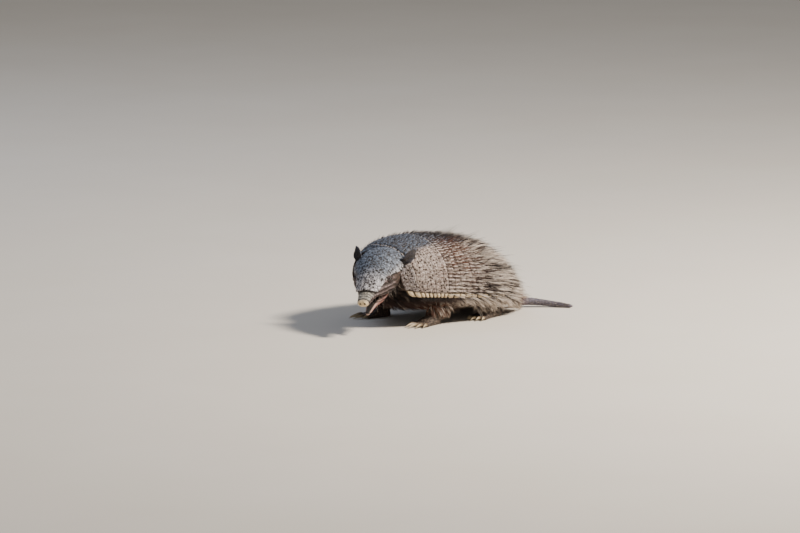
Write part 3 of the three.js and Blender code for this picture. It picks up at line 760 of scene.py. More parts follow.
    def pitted(self, scutes: ScuteField, places: Array) -> ScuteField:
        """Breaks up a shield's scutes, but not its rim, with granules that have a dark pit in the middle: the
        pits' own dark deepened with painted shade, their pale ridges partly painted highlight.
        """
        flat = cells(places.reshape(-1, 3), self.granule, 3)
        border, middle, tone = (held.reshape(places.shape[:2]) for held in flat)
        inner = 1 - scutes.margin
        pit = ease(0.42, 0.29, middle) * ease(0.1, 0.25, tone) * inner
        ridge = inner * ease(0.0, 0.08, border) * ease(0.36, 0.46, middle)
        kept = 1 - 0.5 * inner
        return replace(
            scutes,
            height=scutes.height * kept + 0.35 * ridge - 0.45 * pit,
            groove=np.maximum(scutes.groove * kept, 0.97 * pit),
            raised=np.maximum(scutes.raised * kept, ridge),
            tone=(scutes.tone + tone) / 2,
        )

    def hair_roots(self, first: float, last: float, row: float, spacing: float, seed: int) -> Roots:
        """Places in rows over the back, just behind the scutes.

        Args:
            first: how far along the first row is.
            last: how far along the last row is.
            row: distance from one row to the next.
            spacing: distance between neighbours in a row.
            seed: another seed jitters them in another way.
        Returns:
            The roots, unwrapped by distance from the crown and along the back.
        """
        rng = np.random.default_rng(seed)
        alongs = np.arange(first, last, row)
        arounds = [self.arcs.spread(min(along, 214.0), spacing)[1:-1] for along in alongs]
        along = np.repeat(alongs, [len(around) for around in arounds])
        around = np.concatenate(arounds)
        around = np.clip(around + rng.uniform(-0.45, 0.45, len(around)) * spacing / 130, -0.985, 0.985)
        along = along + rng.uniform(-0.45, 0.45, len(along)) * row
        keep = (along > BODY.front(around) + 1.5) & (along < BODY.rear(around) - 0.5)
        along, around = along[keep], around[keep]
        patch = np.stack([np.sign(around) * self.arcs.length(along, around), along], axis=1)
        return Roots(*shell_frame(along, around, 0.5), patch)


def shell_frame(along: Array, around: Array, depth: float) -> tuple[Array, Array, Array]:
    """Places on the shell with their outward and rearward directions, from small steps over it."""
    points = BODY.shell(along, around, depth)
    rearward = unit(BODY.shell(along + 1, around, depth) - points)
    sideways = unit(BODY.shell(along, around + 0.01, depth) - points)
    normals = unit(np.cross(rearward, sideways))
    from_spine = points - SPINE.place(along, 0, BODY.rim(along))
    return points, normals * np.sign(np.sum(normals * from_spine, axis=1, keepdims=True)), rearward


# ---------------------------------------------------------------- the head's own frame


SKULL_ROWS = (-18, -8, 7, 23, 36, 49, 62, 74, 82, 85)
JAW_ROWS = (20, 36, 50, 62, 71, 75)
SHIELD_ROWS = (-24, -10, 4, 17, 31, 44, 57, 66)


@dataclass(frozen=True)
class Sections:
    """Egg-shaped sections by distance forward: half width, top and bottom."""

    wide: Curve
    top: Curve
    bottom: Curve
    tip: float = 0.0

    def rings(self, inset: float, rows: int, sides: int) -> Array:
        """Rings inside the sections, closer together at both ends: w bow(sin a), m + h bow(cos a)."""
        first, last = self.wide.at[0], self.wide.at[-1]
        share = 0.5 - 0.5 * np.cos(np.linspace(0, math.pi, rows))
        y = (first + (last + self.tip - first) * (0.6 * share + 0.4 * np.linspace(0, 1, rows)))[:, None]
        angle = circle(sides)
        high, low = self.top(y), self.bottom(y)
        x = (self.wide(y) - inset) * bow(np.sin(angle))
        return xyz(x, -y, (high + low) / 2 + ((high - low) / 2 - inset) * bow(np.cos(angle)))


@dataclass(frozen=True)
class HeadForm:
    """The head in its own frame, whose origin is between the ears, with the nose along -Y."""

    at: Place = Place(turned(37, 19, -3), SPINE.place(-25, 24, 92))
    skull: Sections = Sections(
        wide=Curve(SKULL_ROWS, (17, 25, 29, 28.5, 26, 18.5, 12.5, 9.8, 8.4, 6.2)),
        top=Curve(SKULL_ROWS, (-6, 2, 5, 4, 0.5, -5, -10, -13, -14.5, -16.5)),
        bottom=Curve(SKULL_ROWS, (-31, -38, -41, -39, -34, -29, -26.5, -26, -26, -24)),
        tip=0.5,
    )
    jaw: Sections = Sections(
        wide=Curve(JAW_ROWS, (15, 12, 8.2, 5.6, 3.6, 1.8)),
        top=Curve(JAW_ROWS, (-33, -31, -28.5, -27, -27, -28)),
        bottom=Curve(JAW_ROWS, (-43, -41, -36, -32.5, -31.5, -30.5)),
    )
    shield_width: Curve = Curve(SHIELD_ROWS, (21, 30, 33.5, 30.5, 22.4, 19, 16.5, 13))
    shield_crown: Curve = Curve(SHIELD_ROWS, (7, 10, 10.6, 9, 6, 0.8, -4.6, -7.8))
    shield_sag: Curve = Curve(SHIELD_ROWS, (5, 13, 18, 17, 10.5, 8.8, 7.5, 6))
    shield_corner: float = 5.0
    gape: float = 13.0
    hinge: tuple[float, float, float] = (0, -18, -33)
    eye: tuple[float, float, float] = (22.9, -33, -10.7)
    eye_radius: float = 3.3
    nostril: tuple[float, float, float] = (3.1, -85.4, -19.6)

    def jaw_turn(self) -> Place:
        """The jaw's swing about its hinge."""
        hinge, turn = np.array(self.hinge), turned(pitch=self.gape)
        return Place(turn, hinge - turn @ hinge)

    def shield(self, forward: Array, across: Array, depth: Array) -> Array:
        """A point of the shield: its crown line, less sag |across|^2.2, with rounded corners."""
        corner = self.shield_corner * across**4
        at = SHIELD_ROWS[0] + corner + forward * (SHIELD_ROWS[-1] - SHIELD_ROWS[0] - 2 * corner)
        height = self.shield_crown(at) - self.shield_sag(at) * np.abs(across) ** 2.2 - depth
        return xyz(across * self.shield_width(at), -at, height)

    def eye_distance(self, local: Array) -> Array:
        """How far places in the head's frame are from the nearer eye."""
        return norm(np.abs(local) * [1, 0, 0] + local * [0, 1, 1] - np.array(self.eye))


HEAD = HeadForm()


@dataclass
class HeadShield:
    """The plate over the forehead: many-sided scutes made of fine granules with pits between them."""

    step: float = 0.4
    length: float = 90.0
    half_width: float = 31.0
    thickness: float = 2.3
    scute: float = 8.2
    granule: float = 3.9
    inner_rows: int = 4

    def build(self) -> Piece:
        """Makes the shield as closed loops from its rear edge to its front edge."""
        across = spaced(-1, 1, self.step / self.half_width)
        forward = spaced(0, 1, self.step / self.length)[:, None]
        shape = len(forward), len(across)
        edge = np.minimum(1 - np.abs(across), np.minimum(forward, 1 - forward) * 2.6)
        rounding = 0.9 * (1 - ease(0.0, 0.06, edge))
        outer = HEAD.shield(forward, np.broadcast_to(across, shape), rounding)
        normals = grid_normals(outer)
        normals *= np.sign(normals[..., 2:])
        folded = outer.reshape(-1, 3) * [1, 1, 0.5] + 200
        border, _, tone = (held.reshape(shape) for held in cells(folded, self.scute, 4))
        fine_border, middle, fine_tone = (held.reshape(shape) for held in cells(folded, self.granule, 11))
        groove = 1 - ease(0.01, 0.06, border)
        seam = 1 - ease(0.01, 0.1, fine_border)
        pit = ease(0.43, 0.3, middle) * ease(0.1, 0.2, fine_tone)
        height = 0.2 * ease(0.0, 0.3, border) + 0.3 * ease(0.0, 0.2, fine_border)
        height = height - 0.2 * (groove + seam) - 0.6 * pit
        outer = outer + (height * (0.6 + 0.4 * ease(0.0, 0.05, edge)))[..., None] * normals
        inner = HEAD.shield(
            0.004 + 0.992 * np.linspace(1, 0, self.inner_rows)[:, None], across * 0.995, self.thickness
        )
        loops = HEAD.at.out(np.concatenate([outer, inner]).swapaxes(0, 1))
        piece = add_piece("head_shield_horn", *loft(loops))
        fields = {
            # dark seams and pits and pale granules: partly their own colour, partly painted shade and
            # highlight
            "groove": np.maximum(0.8 * np.maximum(groove, 0.6 * seam), pit),
            "raised": ease(0.0, 0.06, fine_border) * ease(0.33, 0.43, middle),
            "tone": 0.5 * tone + 0.5 * fine_tone,
            "edge": 1 - ease(0.0, 0.05, edge),
            "low": np.maximum(ease(0.0, -11.0, outer[..., 2]), 0.9 * ease(-26.0, -58.0, outer[..., 1])),
        }
        for key, values in fields.items():
            inside = np.full((self.inner_rows, shape[1]), 0.85 if key == "groove" else 0.0)
            fields[key] = np.concatenate([values, inside]).T
        set_fields(piece, fields)
        log.info("head_shield: %d x %d points", *shape)
        return piece


# ---------------------------------------------------------------- tail, claws and eyes


@dataclass
class Tail:
    """The tail: rings of pointed scutes along a bent cone that comes down to the floor."""

    line: Sequence[Numbers] = (
        (194, 0, 21),
        (212, 1, 13),
        (230, 3, 9),
        (250, 8, 7.4),
        (274, 20, 4.3),
        (296, 36, 2.3),
    )
    radius: Curve = Curve(np.linspace(0, 1, 6), (9, 7.2, 5.4, 4.5, 3.8, 2.3))
    ring: float = 4.6
    scutes: int = 14
    rows: int = 260
    sides: int = 72

    def middle_line(self) -> tuple[Array, Array]:
        """The tail's middle line and each point's share of its length."""
        return path([SPINE.place(*point) for point in self.line], self.rows)

    def build(self) -> Piece:
        """Makes the tail as rings, with each scute rising to its rear edge."""
        line, share = self.middle_line()
        radius = (self.radius(share) - 0.5) * np.sqrt(np.clip((1.002 - share) / 0.035, 0.0, 1.0))
        rings = tube(line, radius, radius, self.sides)
        length = float(np.sum(norm(np.diff(line, axis=0))))
        row = share[:, None] * length / self.ring
        number = np.floor(row)
        column = np.linspace(0, 1, self.sides, endpoint=False) * self.scutes + 0.5 * (number % 2)
        x = 2 * (column - np.floor(column)) - 1
        y = 2 * (row - number) - 1
        side = 1 - ease(0.7, 0.98, np.abs(x))
        ends = ease(1.0, 0.82, y) * ease(-1.0, -0.8, y)
        pointed = 1 - ease(0.35, 0.9, np.abs(x)) * ease(0.0, 0.9, y)
        raised = side * ends * pointed
        height = np.minimum(1, radius / 5)[:, None] * (0.55 * raised * (0.7 + 0.3 * y) + 0.1)
        rings = rings + height[..., None] * unit(rings - line[:, None])
        rings[..., 2] = np.maximum(rings[..., 2], 0.05)
        piece = add_piece("tail", *loft(rings))
        tone = scatter(number, np.floor(column) % self.scutes)
        fields = {
            "groove": 1 - raised,
            "raised": raised * (0.6 + 0.4 * ease(-0.5, 0.8, y)),
            "tone": np.broadcast_to(tone, raised.shape),
            "along": np.broadcast_to(share[:, None], raised.shape),
        }
        set_fields(piece, fields)
        log.info("tail: %d rings", self.rows)
        return piece


@dataclass(frozen=True)
class Toe:
    """One toe: how far to the left it starts, its turn, and the lengths of the toe and of its claw."""

    side: float
    turn: float
    length: float
    claw: float


@dataclass(frozen=True)
class Paw:
    """A foot's sections and toes, in its own frame with the toes forward along -Y."""

    name: str
    rows: Numbers
    widths: Numbers
    tops: Numbers
    toes: Sequence[Toe]
    middle: float = 4.0
    drop: float = 5.5
    toe_radius: float = 3.1
    toe_root: float = 4.0

    def toe_place(self, toe: Toe, hand: int) -> Place:
        """The frame of one toe, at its root on the floor."""
        return Place(turned(hand * toe.turn), np.array([hand * toe.side, self.toe_root - self.rows[-1], 0.0]))


FORE_PAW = Paw(
    "fore",
    (-9, -2, 8, 18, 23),
    (6, 9.5, 11, 11.5, 9),
    (10, 15, 14, 10, 7.5),
    (
        Toe(-8, -14, 5, 11),
        Toe(-4.4, -6, 8, 18),
        Toe(0.2, 0, 8.5, 20),
        Toe(4.8, 8, 7, 16),
        Toe(8.4, 18, 4, 11),
    ),
)
HIND_PAW = Paw(
    "hind",
    (-20, -13, 2, 18, 24),
    (5.5, 8, 9.5, 11.5, 9.5),
    (8, 13, 16, 10.5, 8),
    (
        Toe(-8.2, -12, 5, 8),
        Toe(-4.2, -5, 8, 11),
        Toe(0.2, 0, 8.5, 12),
        Toe(4.6, 7, 7.5, 11),
        Toe(8.6, 15, 5, 8),
    ),
)


@dataclass(frozen=True)
class Leg:
    """A leg from its root in the trunk to its paw."""

    word: str
    paw: Paw
    root: tuple[float, float, float]
    foot: tuple[float, float]
    turn: float

    @property
    def hand(self) -> int:
        """1 on the animal's left and -1 on its right."""
        return 1 if self.foot[1] > 0 else -1

    @property
    def fore(self) -> bool:
        """Whether it is a foreleg."""
        return self.paw is FORE_PAW

    def place(self) -> Place:
        """The frame of the foot."""
        return Place(turned(self.turn), SPINE.place(*self.foot, 0))

    def line(self, steps: int) -> tuple[Array, Array]:
        """The leg's middle line from the trunk to the ankle."""
        knee_back, knee_out, ankle_back = (7, 7, -1) if self.fore else (-12, 8, -2)
        along, side = self.foot
        knee = SPINE.place((self.root[0] + along) / 2 + knee_back, self.root[1] + self.hand * knee_out, 26)
        return path([SPINE.place(*self.root), knee, SPINE.place(along + ankle_back, side, 7)], steps)


LEGS = (
    Leg("left", FORE_PAW, (58, 42, 44), (58, 46), 12),
    Leg("right", FORE_PAW, (54, -42, 44), (46, -44), -8),
    Leg("left", HIND_PAW, (158, 42, 42), (158, 46), 16),
    Leg("right", HIND_PAW, (158, -42, 42), (172, -44), -14),
)


@dataclass
class Claws:
    """Twenty curved claws, deeper than wide, with a ridge above and a hollow below."""

    radius: float = 2.3
    slimness: float = 0.7
    start: float = 4.4
    buried: float = 1.6
    rows: int = 26
    sides: int = 20

    def build(self) -> dict[str, Piece]:
        """Makes the claws of every foot, by node name."""
        pieces = {}
        for leg in LEGS:
            for number, toe in enumerate(leg.paw.toes, start=1):
                name = f"{leg.paw.name}claw_{leg.word}_{number}"
                points = leg.paw.toe_place(toe, leg.hand).out(self.rings(toe))
                pieces[name] = add_piece(f"{name}_horn", *loft(leg.place().out(points)))
                share = np.linspace(0, 1, self.rows)
                set_fields(pieces[name], {"along": np.repeat(share, self.sides)})
        log.info("claws: %d", len(pieces))
        return pieces

    def rings(self, toe: Toe) -> Array:
        """Rings along an arc: middle 3.1 - 2.1 s^2 + 0.8 sin(pi s), thinning as 1 - 0.94 s^1.3."""
        s = np.linspace(-self.buried / toe.claw, 1, self.rows)[:, None]
        ahead = np.clip(s, 0, 1)
        radius = self.radius * (1 - 0.94 * ahead**1.3)
        middle = 3.1 - 2.1 * ahead**2 + 0.8 * np.sin(math.pi * ahead)
        sine, cosine = np.sin(circle(self.sides)), np.cos(circle(self.sides))
        ridge = 1 + 0.12 * np.maximum(0, sine) ** 6 - 0.2 * np.maximum(0, -sine) ** 4
        z = np.maximum(middle + radius * sine * ridge, 0.05)
        return xyz(self.slimness * radius * cosine, -(toe.length + self.start) - s * toe.claw, z)


@dataclass
class Eyes:
    """Two dark eyeballs with a bulging cornea."""

    rows: int = 40
    sides: int = 48
    yaw: float = -24.0
    roll: float = -12.0

    def build(self) -> dict[str, Piece]:
        """Makes both eyes, by node name. Each is a ball of rings about the line of sight."""
        pieces = {}
        polar = np.linspace(0.02, math.pi - 0.02, self.rows)[:, None]
        angle = circle(self.sides)
        radius = HEAD.eye_radius * (1 + 0.05 * bump(0.0, 0.45, polar))
        flat = radius * np.sin(polar)
        ball = xyz(radius * np.cos(polar), flat * np.cos(angle), flat * np.sin(angle))
        ball = ball @ turned(yaw=self.yaw, roll=self.roll).T + np.array(HEAD.eye)
        for word, mirror in (("left", [1, 1, 1]), ("right", [-1, 1, 1])):
            piece = add_piece(f"eyeball_{word}", *loft(HEAD.at.out(ball * mirror)))
            set_fields(piece, {"polar": np.broadcast_to(polar, ball.shape[:2])})
            pieces[f"eye_{word}"] = piece
        log.info("eyes: %d", len(pieces))
        return pieces


# ---------------------------------------------------------------- skin


class Flesh(Enum):
    """The parts that the skin covers."""

    TRUNK = "trunk"
    NECK = "neck"
    HEAD = "head"
    JAW = "jaw"
    EAR = "ear"
    LEG = "leg"
    FOOT = "foot"


@dataclass(frozen=True)
class Ear:
    """A cupped ear that stands on its base in its own frame: Z to the tip, the hollow facing -Y."""

    at: Place
    length: float = 22.5
    width: float = 12.5
    thickness: float = 1.9
    reach: float = 18.0

    def half(self, v: Array) -> Array:
        """Its half width at a share of its length, without the rounding of the tip."""
        return self.width / 2 * (0.84 + 0.28 * np.sin(math.pi * v))

    def loops(self) -> Array:
        """Closed loops from base to tip: arcs whose curl opens from 80 to 38 degrees."""
        v = np.linspace(0, 1, 44)[:, None]
        across = np.linspace(-1, 1, 30)
        curl = np.radians(80 - 42 * v)
        half = self.half(v) * (1 - 0.4 * v**8)
        sides = []
        for inside in (0.0, self.thickness):
            radius = half / np.sin(curl) - inside
            y = -0.4 * half + radius * np.cos(curl * across) - half + 4 * v**2
            sides.append(xyz(radius * np.sin(curl * across), y, self.length * v * (1 - 0.16 * across**2)))
        return self.at.out(np.concatenate([sides[0], sides[1][:, ::-1]], axis=1))

    def root(self) -> Array:
        """A stub that carries the ear's base down into the head."""
        line, share = path([(0, 1.5, -9), (0, -1.5, -2), (0, -2.5, 3)], 10)
        wide = 6.2 - 1.6 * share
        return self.at.out(tube(line, wide, wide * 0.62, 20))

    def rim(self, local: Array) -> Array:
        """1 on its rim and its tip, 0 inside it and away from it."""
        own = self.at.into(local)
        v = own[:, 2] / self.length
        beside = np.abs(own[:, 0]) / self.half(np.clip(v, 0, 1))
        found = np.maximum(ease(0.75, 0.98, beside), ease(0.85, 0.97, v))
        return np.where(norm(own - [0, 0, self.length / 2]) < self.reach, found, 0.0)


EARS = (
    Ear(Place(turned(24, -14, 57), np.array([33.0, 8.0, -5.0]))),
    Ear(Place(turned(-13, -22, -34), np.array([-26.0, 8.0, -5.0]))),
)


class EyeRegion:
    """Places about the nearer eye, as if it were the left one: out of the head, to the nose and up."""

    outward = unit(np.array([0.9, -0.36, 0.2]))
    forward = np.array([-0.36, -0.9, 0.0])
    depth = 9.0

    def __init__(self, local: Array) -> None:
        """Measures every place against its own side's eye."""
        hand = np.where(local[:, 0] > 0, 1.0, -1.0)
        self.mirror = np.stack([hand, np.ones_like(hand), np.ones_like(hand)], axis=1)
        ahead = unit(self.forward - self.outward * np.dot(self.forward, self.outward))
        above = np.cross(ahead, self.outward)
        places = (local - self.mirror * np.array(HEAD.eye)) * self.mirror
        self.out, self.ahead = places @ self.outward, places @ ahead
        self.above = places @ (above * np.sign(above[2]))
        self.away = np.hypot(self.ahead, self.above)

    def open_lids(self, points: Array) -> Array:
        """Lays skin over each eyeball and opens an almond in it: |up| < 1.75 (1 - (ahead / 3.5)^2)."""
        away, ball = self.away, HEAD.eye_radius + 0.5
        near = (away < 8.0) & (np.abs(self.out) < self.depth)
        dome = np.sqrt(np.maximum(ball**2 - np.minimum(away, ball) ** 2, 0.0))
        skirt = np.sqrt(ball**2 - 9.0) * ease(6.5, 3.0, away) + (away - 3.0) * -0.15
        cover = np.where(away < 3.0, dome, skirt)
        beside = np.abs(self.ahead)
        margin = np.abs(self.above + 0.15) - 1.75 * (1 - (np.minimum(beside, 3.5) / 3.5) ** 2)
        rim = bump(0.55, 0.5, margin) * ease(5.0, 3.2, beside)
        fold = bump(2.1, 0.45, margin) * ease(6.0, 4.0, beside)
        target = cover + 0.35 * rim - 0.4 * fold
        target = np.where(margin < 0.05, np.minimum(target, cover - 2.3), target)
        weight = ease(7.6, 4.2, away) * near * ease(4.6, 3.0, self.above)
        shift = (weight * (target - self.out))[:, None] * self.outward * self.mirror
        return points + shift @ HEAD.at.turn.T

    def off(self) -> Array:
        """0 on the lids, 1 away from them."""
        return ease(4.0, 8.0, self.away)

    def lids(self) -> Array:
        """1 on the lids, fading over the next few millimetres."""
        return ease(7.5, 3.0, self.away) * (np.abs(self.out) < self.depth)


def nostrils(local: Array) -> tuple[Array, Array]:
    """How far the nose moves along its normals, and where its bare pad is."""
    x, y, z = np.abs(local[:, 0]), local[:, 1], local[:, 2]
    beside, above = (x - HEAD.nostril[0]) / 1.25, z - HEAD.nostril[2]
    hole = np.sqrt(beside**2 + above**2 + ((y + 85.5) / 2.4) ** 2)
    cleft = bump(0.0, 0.45, x) * ease(-80, -84, y) * ease(-15.5, -18, z)
    pad = ease(-81.0, -83.6, y)
    return -2.4 * ease(1.25, 0.6, hole) + 0.45 * bump(1.55, 0.4, hole) * pad - 0.4 * cleft, pad


def mouth(local: Array) -> tuple[Array, Array]:
    """Where shade is painted inside the mouth, on the palate and on top of the jaw, and where the lower lip
    is.
    """
    at = -local[:, 1]
    roof = local[:, 2] - HEAD.skull.bottom(at)
    palate = ease(1.3, 0.5, roof) * ease(-2.2, -1.2, roof)
    palate *= ease(0.86, 0.7, np.abs(local[:, 0]) / HEAD.skull.wide(at)) * ease(82, 79, at)
    jaw = HEAD.jaw_turn().into(local)
    at_jaw = -jaw[:, 1]
    top = HEAD.jaw.top(at_jaw) - jaw[:, 2]
    floor = ease(1.6, 0.7, top) * ease(0.9, 0.72, np.abs(jaw[:, 0]) / HEAD.jaw.wide(at_jaw))
    floor *= ease(-2.0, -0.5, top) * ease(75, 72, at_jaw)
    lip = np.maximum(ease(3.2, 1.2, top), ease(66, 73, at_jaw))
    return np.clip(palate + floor, 0, 1) * ease(30, 40, at), lip


class Markings:
    """Where the animal is ruddy or pale, the same for the skin and for the coat."""

    @staticmethod
    def ruddy(points: Array) -> Array:
        """Reddish brown on the forelegs and under the rump, broken up by noise."""
        along, _ = SPINE.find(points)
        low = ease(48, 20, points[:, 2])
        where = 1.15 * bump(50, 34, along) * low + 0.7 * bump(200, 20, along) * low
        return np.clip(where + 0.22 * noise(points, 13, 21), 0, 1)

    @staticmethod
    def pale(points: Array) -> Array:
        """Cream towards the rear and the flanks, dark on the crest and the nape."""
        along, side = SPINE.find(points)
        flank = np.clip(np.abs(side) / 60, 0, 1)
        rear = ease(40, 150, along)
        return np.clip(0.15 + 0.5 * rear + 0.45 * flank + 0.2 * noise(points, 10, 31), 0, 1)


LIMB_SHARES = (0, 0.5, 1)


@dataclass
class Skin:
    """One hide over trunk, neck, head, ears, legs and feet, which lies inside the coat."""

    voxel: float = 1.065
    belly_coat: float = 7.0
    leg_coat: float = 4.5
    neck_coat: float = 4.0
    thinned: float = 0.92
    sample_step: float = 6.0
    nose: tuple[float, float, float] = (0, -84, -20)
    samples: dict[Flesh, Array] = field(default_factory=dict)

    def parts(self) -> list[tuple[Flesh, Array]]:
        """Closed rings for each part of the body."""
        found = [(Flesh.TRUNK, self.trunk()), (Flesh.NECK, self.neck())]
        found.append((Flesh.HEAD, HEAD.at.out(HEAD.skull.rings(0.4, 60, 64))))
        found.append((Flesh.JAW, HEAD.at.out(HEAD.jaw_turn().out(HEAD.jaw.rings(0.2, 40, 40)))))
        found += [(Flesh.EAR, HEAD.at.out(rings)) for ear in EARS for rings in (ear.loops(), ear.root())]
        for leg in LEGS:
            found.append((Flesh.LEG, self.leg(leg)))
            found += [(Flesh.FOOT, rings) for rings in self.foot(leg)]
        return found

    def trunk(self) -> Array:
        """Rings over the back under the armour and round a belly that hangs between the flanks."""
        along = np.linspace(-10, 211, 90)[:, None]
        depth = BODY.flesh_depth(along) + 0.9
        back = BODY.shell(along, np.linspace(-0.9, 0.9, 72), depth)
        joint = BODY.shell(along, np.full_like(along, 0.9), depth)[..., 2] - 5
        half = BODY.half_width(along) - depth - 10
        belly = BODY.belly(along) + self.belly_coat * ease(-6, 24, along)
        angle = np.linspace(0.08, math.pi - 0.08, 40)
        under = SPINE.place(along, half * np.cos(angle), joint - (joint - belly) * np.sin(angle) ** 0.85)
        return np.concatenate([back, under], axis=1)

    def neck(self) -> Array:
        """Rings from inside the chest into the back of the head."""
        through = [SPINE.place(20, 0, 64), SPINE.place(-4, 4, 67), HEAD.at.out(np.array([0, -2, -19]))]
        line, share = path(through, 40)
        wide = Curve(LIMB_SHARES, (36, 33, 27))(share) - self.neck_coat
        tall = Curve(LIMB_SHARES, (30, 31, 27))(share) - self.neck_coat
        rings = tube(line, wide, tall, 64)
        bare = (self.neck_coat - 0.6) * ease(0.3, 0.9, (rings[..., 2] - line[:, None, 2]) / tall[:, None])
        return rings + bare[..., None] * [0, 0, 1]

    def leg(self, leg: Leg) -> Array:
        """Rings from inside the trunk down to the ankle."""
        line, share = leg.line(50)
        sizes = ((17, 14.5, 10), (25, 19.5, 12)) if leg.fore else ((20, 16, 10), (27, 21, 12))
        coat = self.leg_coat * (1 - 0.55 * share)
        wide, deep = (Curve(LIMB_SHARES, size)(share) - coat for size in sizes)
        return tube(line, wide, deep, 56)

    @staticmethod
    def foot(leg: Leg) -> list[Array]:
        """The arch of the paw and its five toes, each with a swollen joint and a pad."""
        paw = leg.paw
        y = spaced(paw.rows[0] + 0.4, paw.rows[-1] - 0.2, 0.9)[:, None]
        angle = circle(56)
        rise = np.where(np.cos(angle) > 0, Curve(paw.rows, paw.tops)(y) - paw.middle - 0.5, paw.drop)
        x = (Curve(paw.rows, paw.widths)(y) - 0.5) * bow(np.sin(angle))
        z = np.maximum(paw.middle + rise * bow(np.cos(angle)), 0.1)
        found = [leg.place().out(xyz(x, -y, z))]
        s = np.linspace(-0.35, 1.0, 26)[:, None]
        swell = 1 + 0.1 * bump(0.3, 0.16, s) + 0.06 * bump(0.95, 0.2, s) - 0.07 * bump(0.66, 0.14, s)
        radius = (paw.toe_radius - 0.15) * (1 - 0.2 * np.clip(s, 0, 1) ** 2) * swell
        x, z = radius * np.cos(circle(28)), 3.2 - 0.6 * s + radius * np.sin(circle(28))
        for toe in paw.toes:
            points = xyz(x, -(toe.length + paw.toe_root) * s, np.maximum(z, 0.1))
            found.append(leg.place().out(paw.toe_place(toe, leg.hand).out(points)))
        return found

    def build(self) -> Piece:
        """Joins the parts into one surface by voxels, thins what the armour hides, then models the detail."""
        rough = self.joined()
        remesh = rough.modifiers.new("joined", "REMESH")
        remesh.mode, remesh.voxel_size = "VOXEL", self.voxel * MM
        smooth = rough.modifiers.new("smoothed", "SMOOTH")
        smooth.factor, smooth.iterations = 0.5, 3
        skin = self.baked(rough)
        covered = self.hidden(vertex_places(skin))
        hidden = skin.vertex_groups.new(name="hidden")
        hidden.add(np.flatnonzero(covered).tolist(), 1.0, "REPLACE")
        thin = skin.modifiers.new("thinned", "DECIMATE")
        thin.vertex_group, thin.vertex_group_factor = hidden.name, 1.0
        thin.ratio = 1 - self.thinned * float(np.mean(covered))
        skin = self.baked(skin)
        self.refine(skin)
        self.model(skin)
        skin.data.polygons.foreach_set("use_smooth", np.full(len(skin.data.polygons), True))
        skin.data.calc_loop_triangles()
        log.info("skin: %d triangles", len(skin.data.loop_triangles))
        return skin

    def joined(self) -> Piece:
        """Every part as one rough piece, with sample points of each part kept for later."""
        points, faces, start = [], [], 0
        for flesh, rings in self.parts():
            flat, shapes = loft(rings)
            turn = -1 if volume(flat, shapes) < 0 else 1
            points.append(flat)
            faces += [shape[:, ::turn] + start for shape in shapes]
            start += len(flat)
            row, column = (
                max(1, round(self.sample_step / np.mean(norm(np.diff(rings, axis=axis))))) for axis in (0, 1)
            )
            held = self.samples.get(flesh, np.zeros((0, 3)))
            self.samples[flesh] = np.concatenate([held, rings[::row, ::column].reshape(-1, 3)])
        return add_piece("rough_skin", np.concatenate(points), faces)

    @staticmethod
    def baked(piece: Piece) -> Piece:
        """A new skin with the mesh that the piece's modifiers give. The old piece goes."""
        mesh = bpy.data.meshes.new_from_object(piece.evaluated_get(bpy.context.evaluated_depsgraph_get()))
        bpy.data.objects.remove(piece)
        made = bpy.data.objects.new("skin", mesh)
        made.data.name = "skin"
        bpy.context.scene.collection.objects.link(made)
        return made

    @staticmethod
    def hidden(points: Array) -> Array:
        """Which points lie under the armour, away from its edges."""
        along, side = SPINE.find(points)
        back = points[:, 2] > BODY.rim(along) + 7
        belly = (np.abs(side) < 30) & (along > 70) & (along < 140)
        return (along > 6) & (along < 198) & (back | belly)

    def refine(self, skin: Piece) -> None:
        """Divides the faces round the eyes and the nose, twice at their middles."""
        for eye_reach, nose_reach in ((13.0, 22.0), (7.5, 9.0)):
            local = HEAD.at.into(vertex_places(skin))
            near = (HEAD.eye_distance(local) < eye_reach) | (norm(local - self.nose) < nose_reach)
            shape = bmesh.new()
            shape.from_mesh(skin.data)
            edges = [edge for edge in shape.edges if near[edge.verts[0].index] and near[edge.verts[1].index]]
            bmesh.ops.subdivide_edges(shape, edges=edges, cuts=1, use_grid_fill=True)
            shape.to_mesh(skin.data)
            shape.free()
        skin.data.update()

    def nearness(self, points: Array, block: int = 2048) -> dict[Flesh, Array]:
        """The distance from each point to each part's samples, a block of points at a time."""
        found = {}
        for flesh, samples in self.samples.items():
            ends = samples.astype(np.float32)
            found[flesh] = np.empty(len(points))
            for start in range(0, len(points), block):
                here = points[start : start + block].astype(np.float32)
                square = ((ends**2).sum(1) - 2 * here @ ends.T).min(axis=1) + (here**2).sum(1)
                found[flesh][start : start + block] = np.sqrt(np.maximum(square, 0))
        return found

    def model(self, skin: Piece) -> None:
        """Moves the vertices for every fold and scale, and stores what the hide's finish reads."""
        points, normals = vertex_places(skin), vertex_normals(skin)
        near = self.nearness(points)
        first = np.min(np.stack(list(near.values())), axis=0)
        share = {flesh: ease(6.0, 0.0, distance - first) for flesh, distance in near.items()}
        local = HEAD.at.into(points)
        eye = EyeRegion(local)
        points = eye.open_lids(points)
        nose, pad = nostrils(local)
        mouth_shade, lip = mouth(local)
        neck, leg = share[Flesh.NECK], share[Flesh.LEG]
        face = share[Flesh.HEAD] * ease(-18, -40, local[:, 1])
        snout = face * ease(-58, -70, local[:, 1])
        facing = normals @ HEAD.at.turn
        bare = snout * np.maximum(ease(0.1, 0.6, facing[:, 2]), ease(0.3, 0.7, -facing[:, 1]))
        foot = np.maximum(share[Flesh.FOOT], leg * ease(26, 14, points[:, 2]))

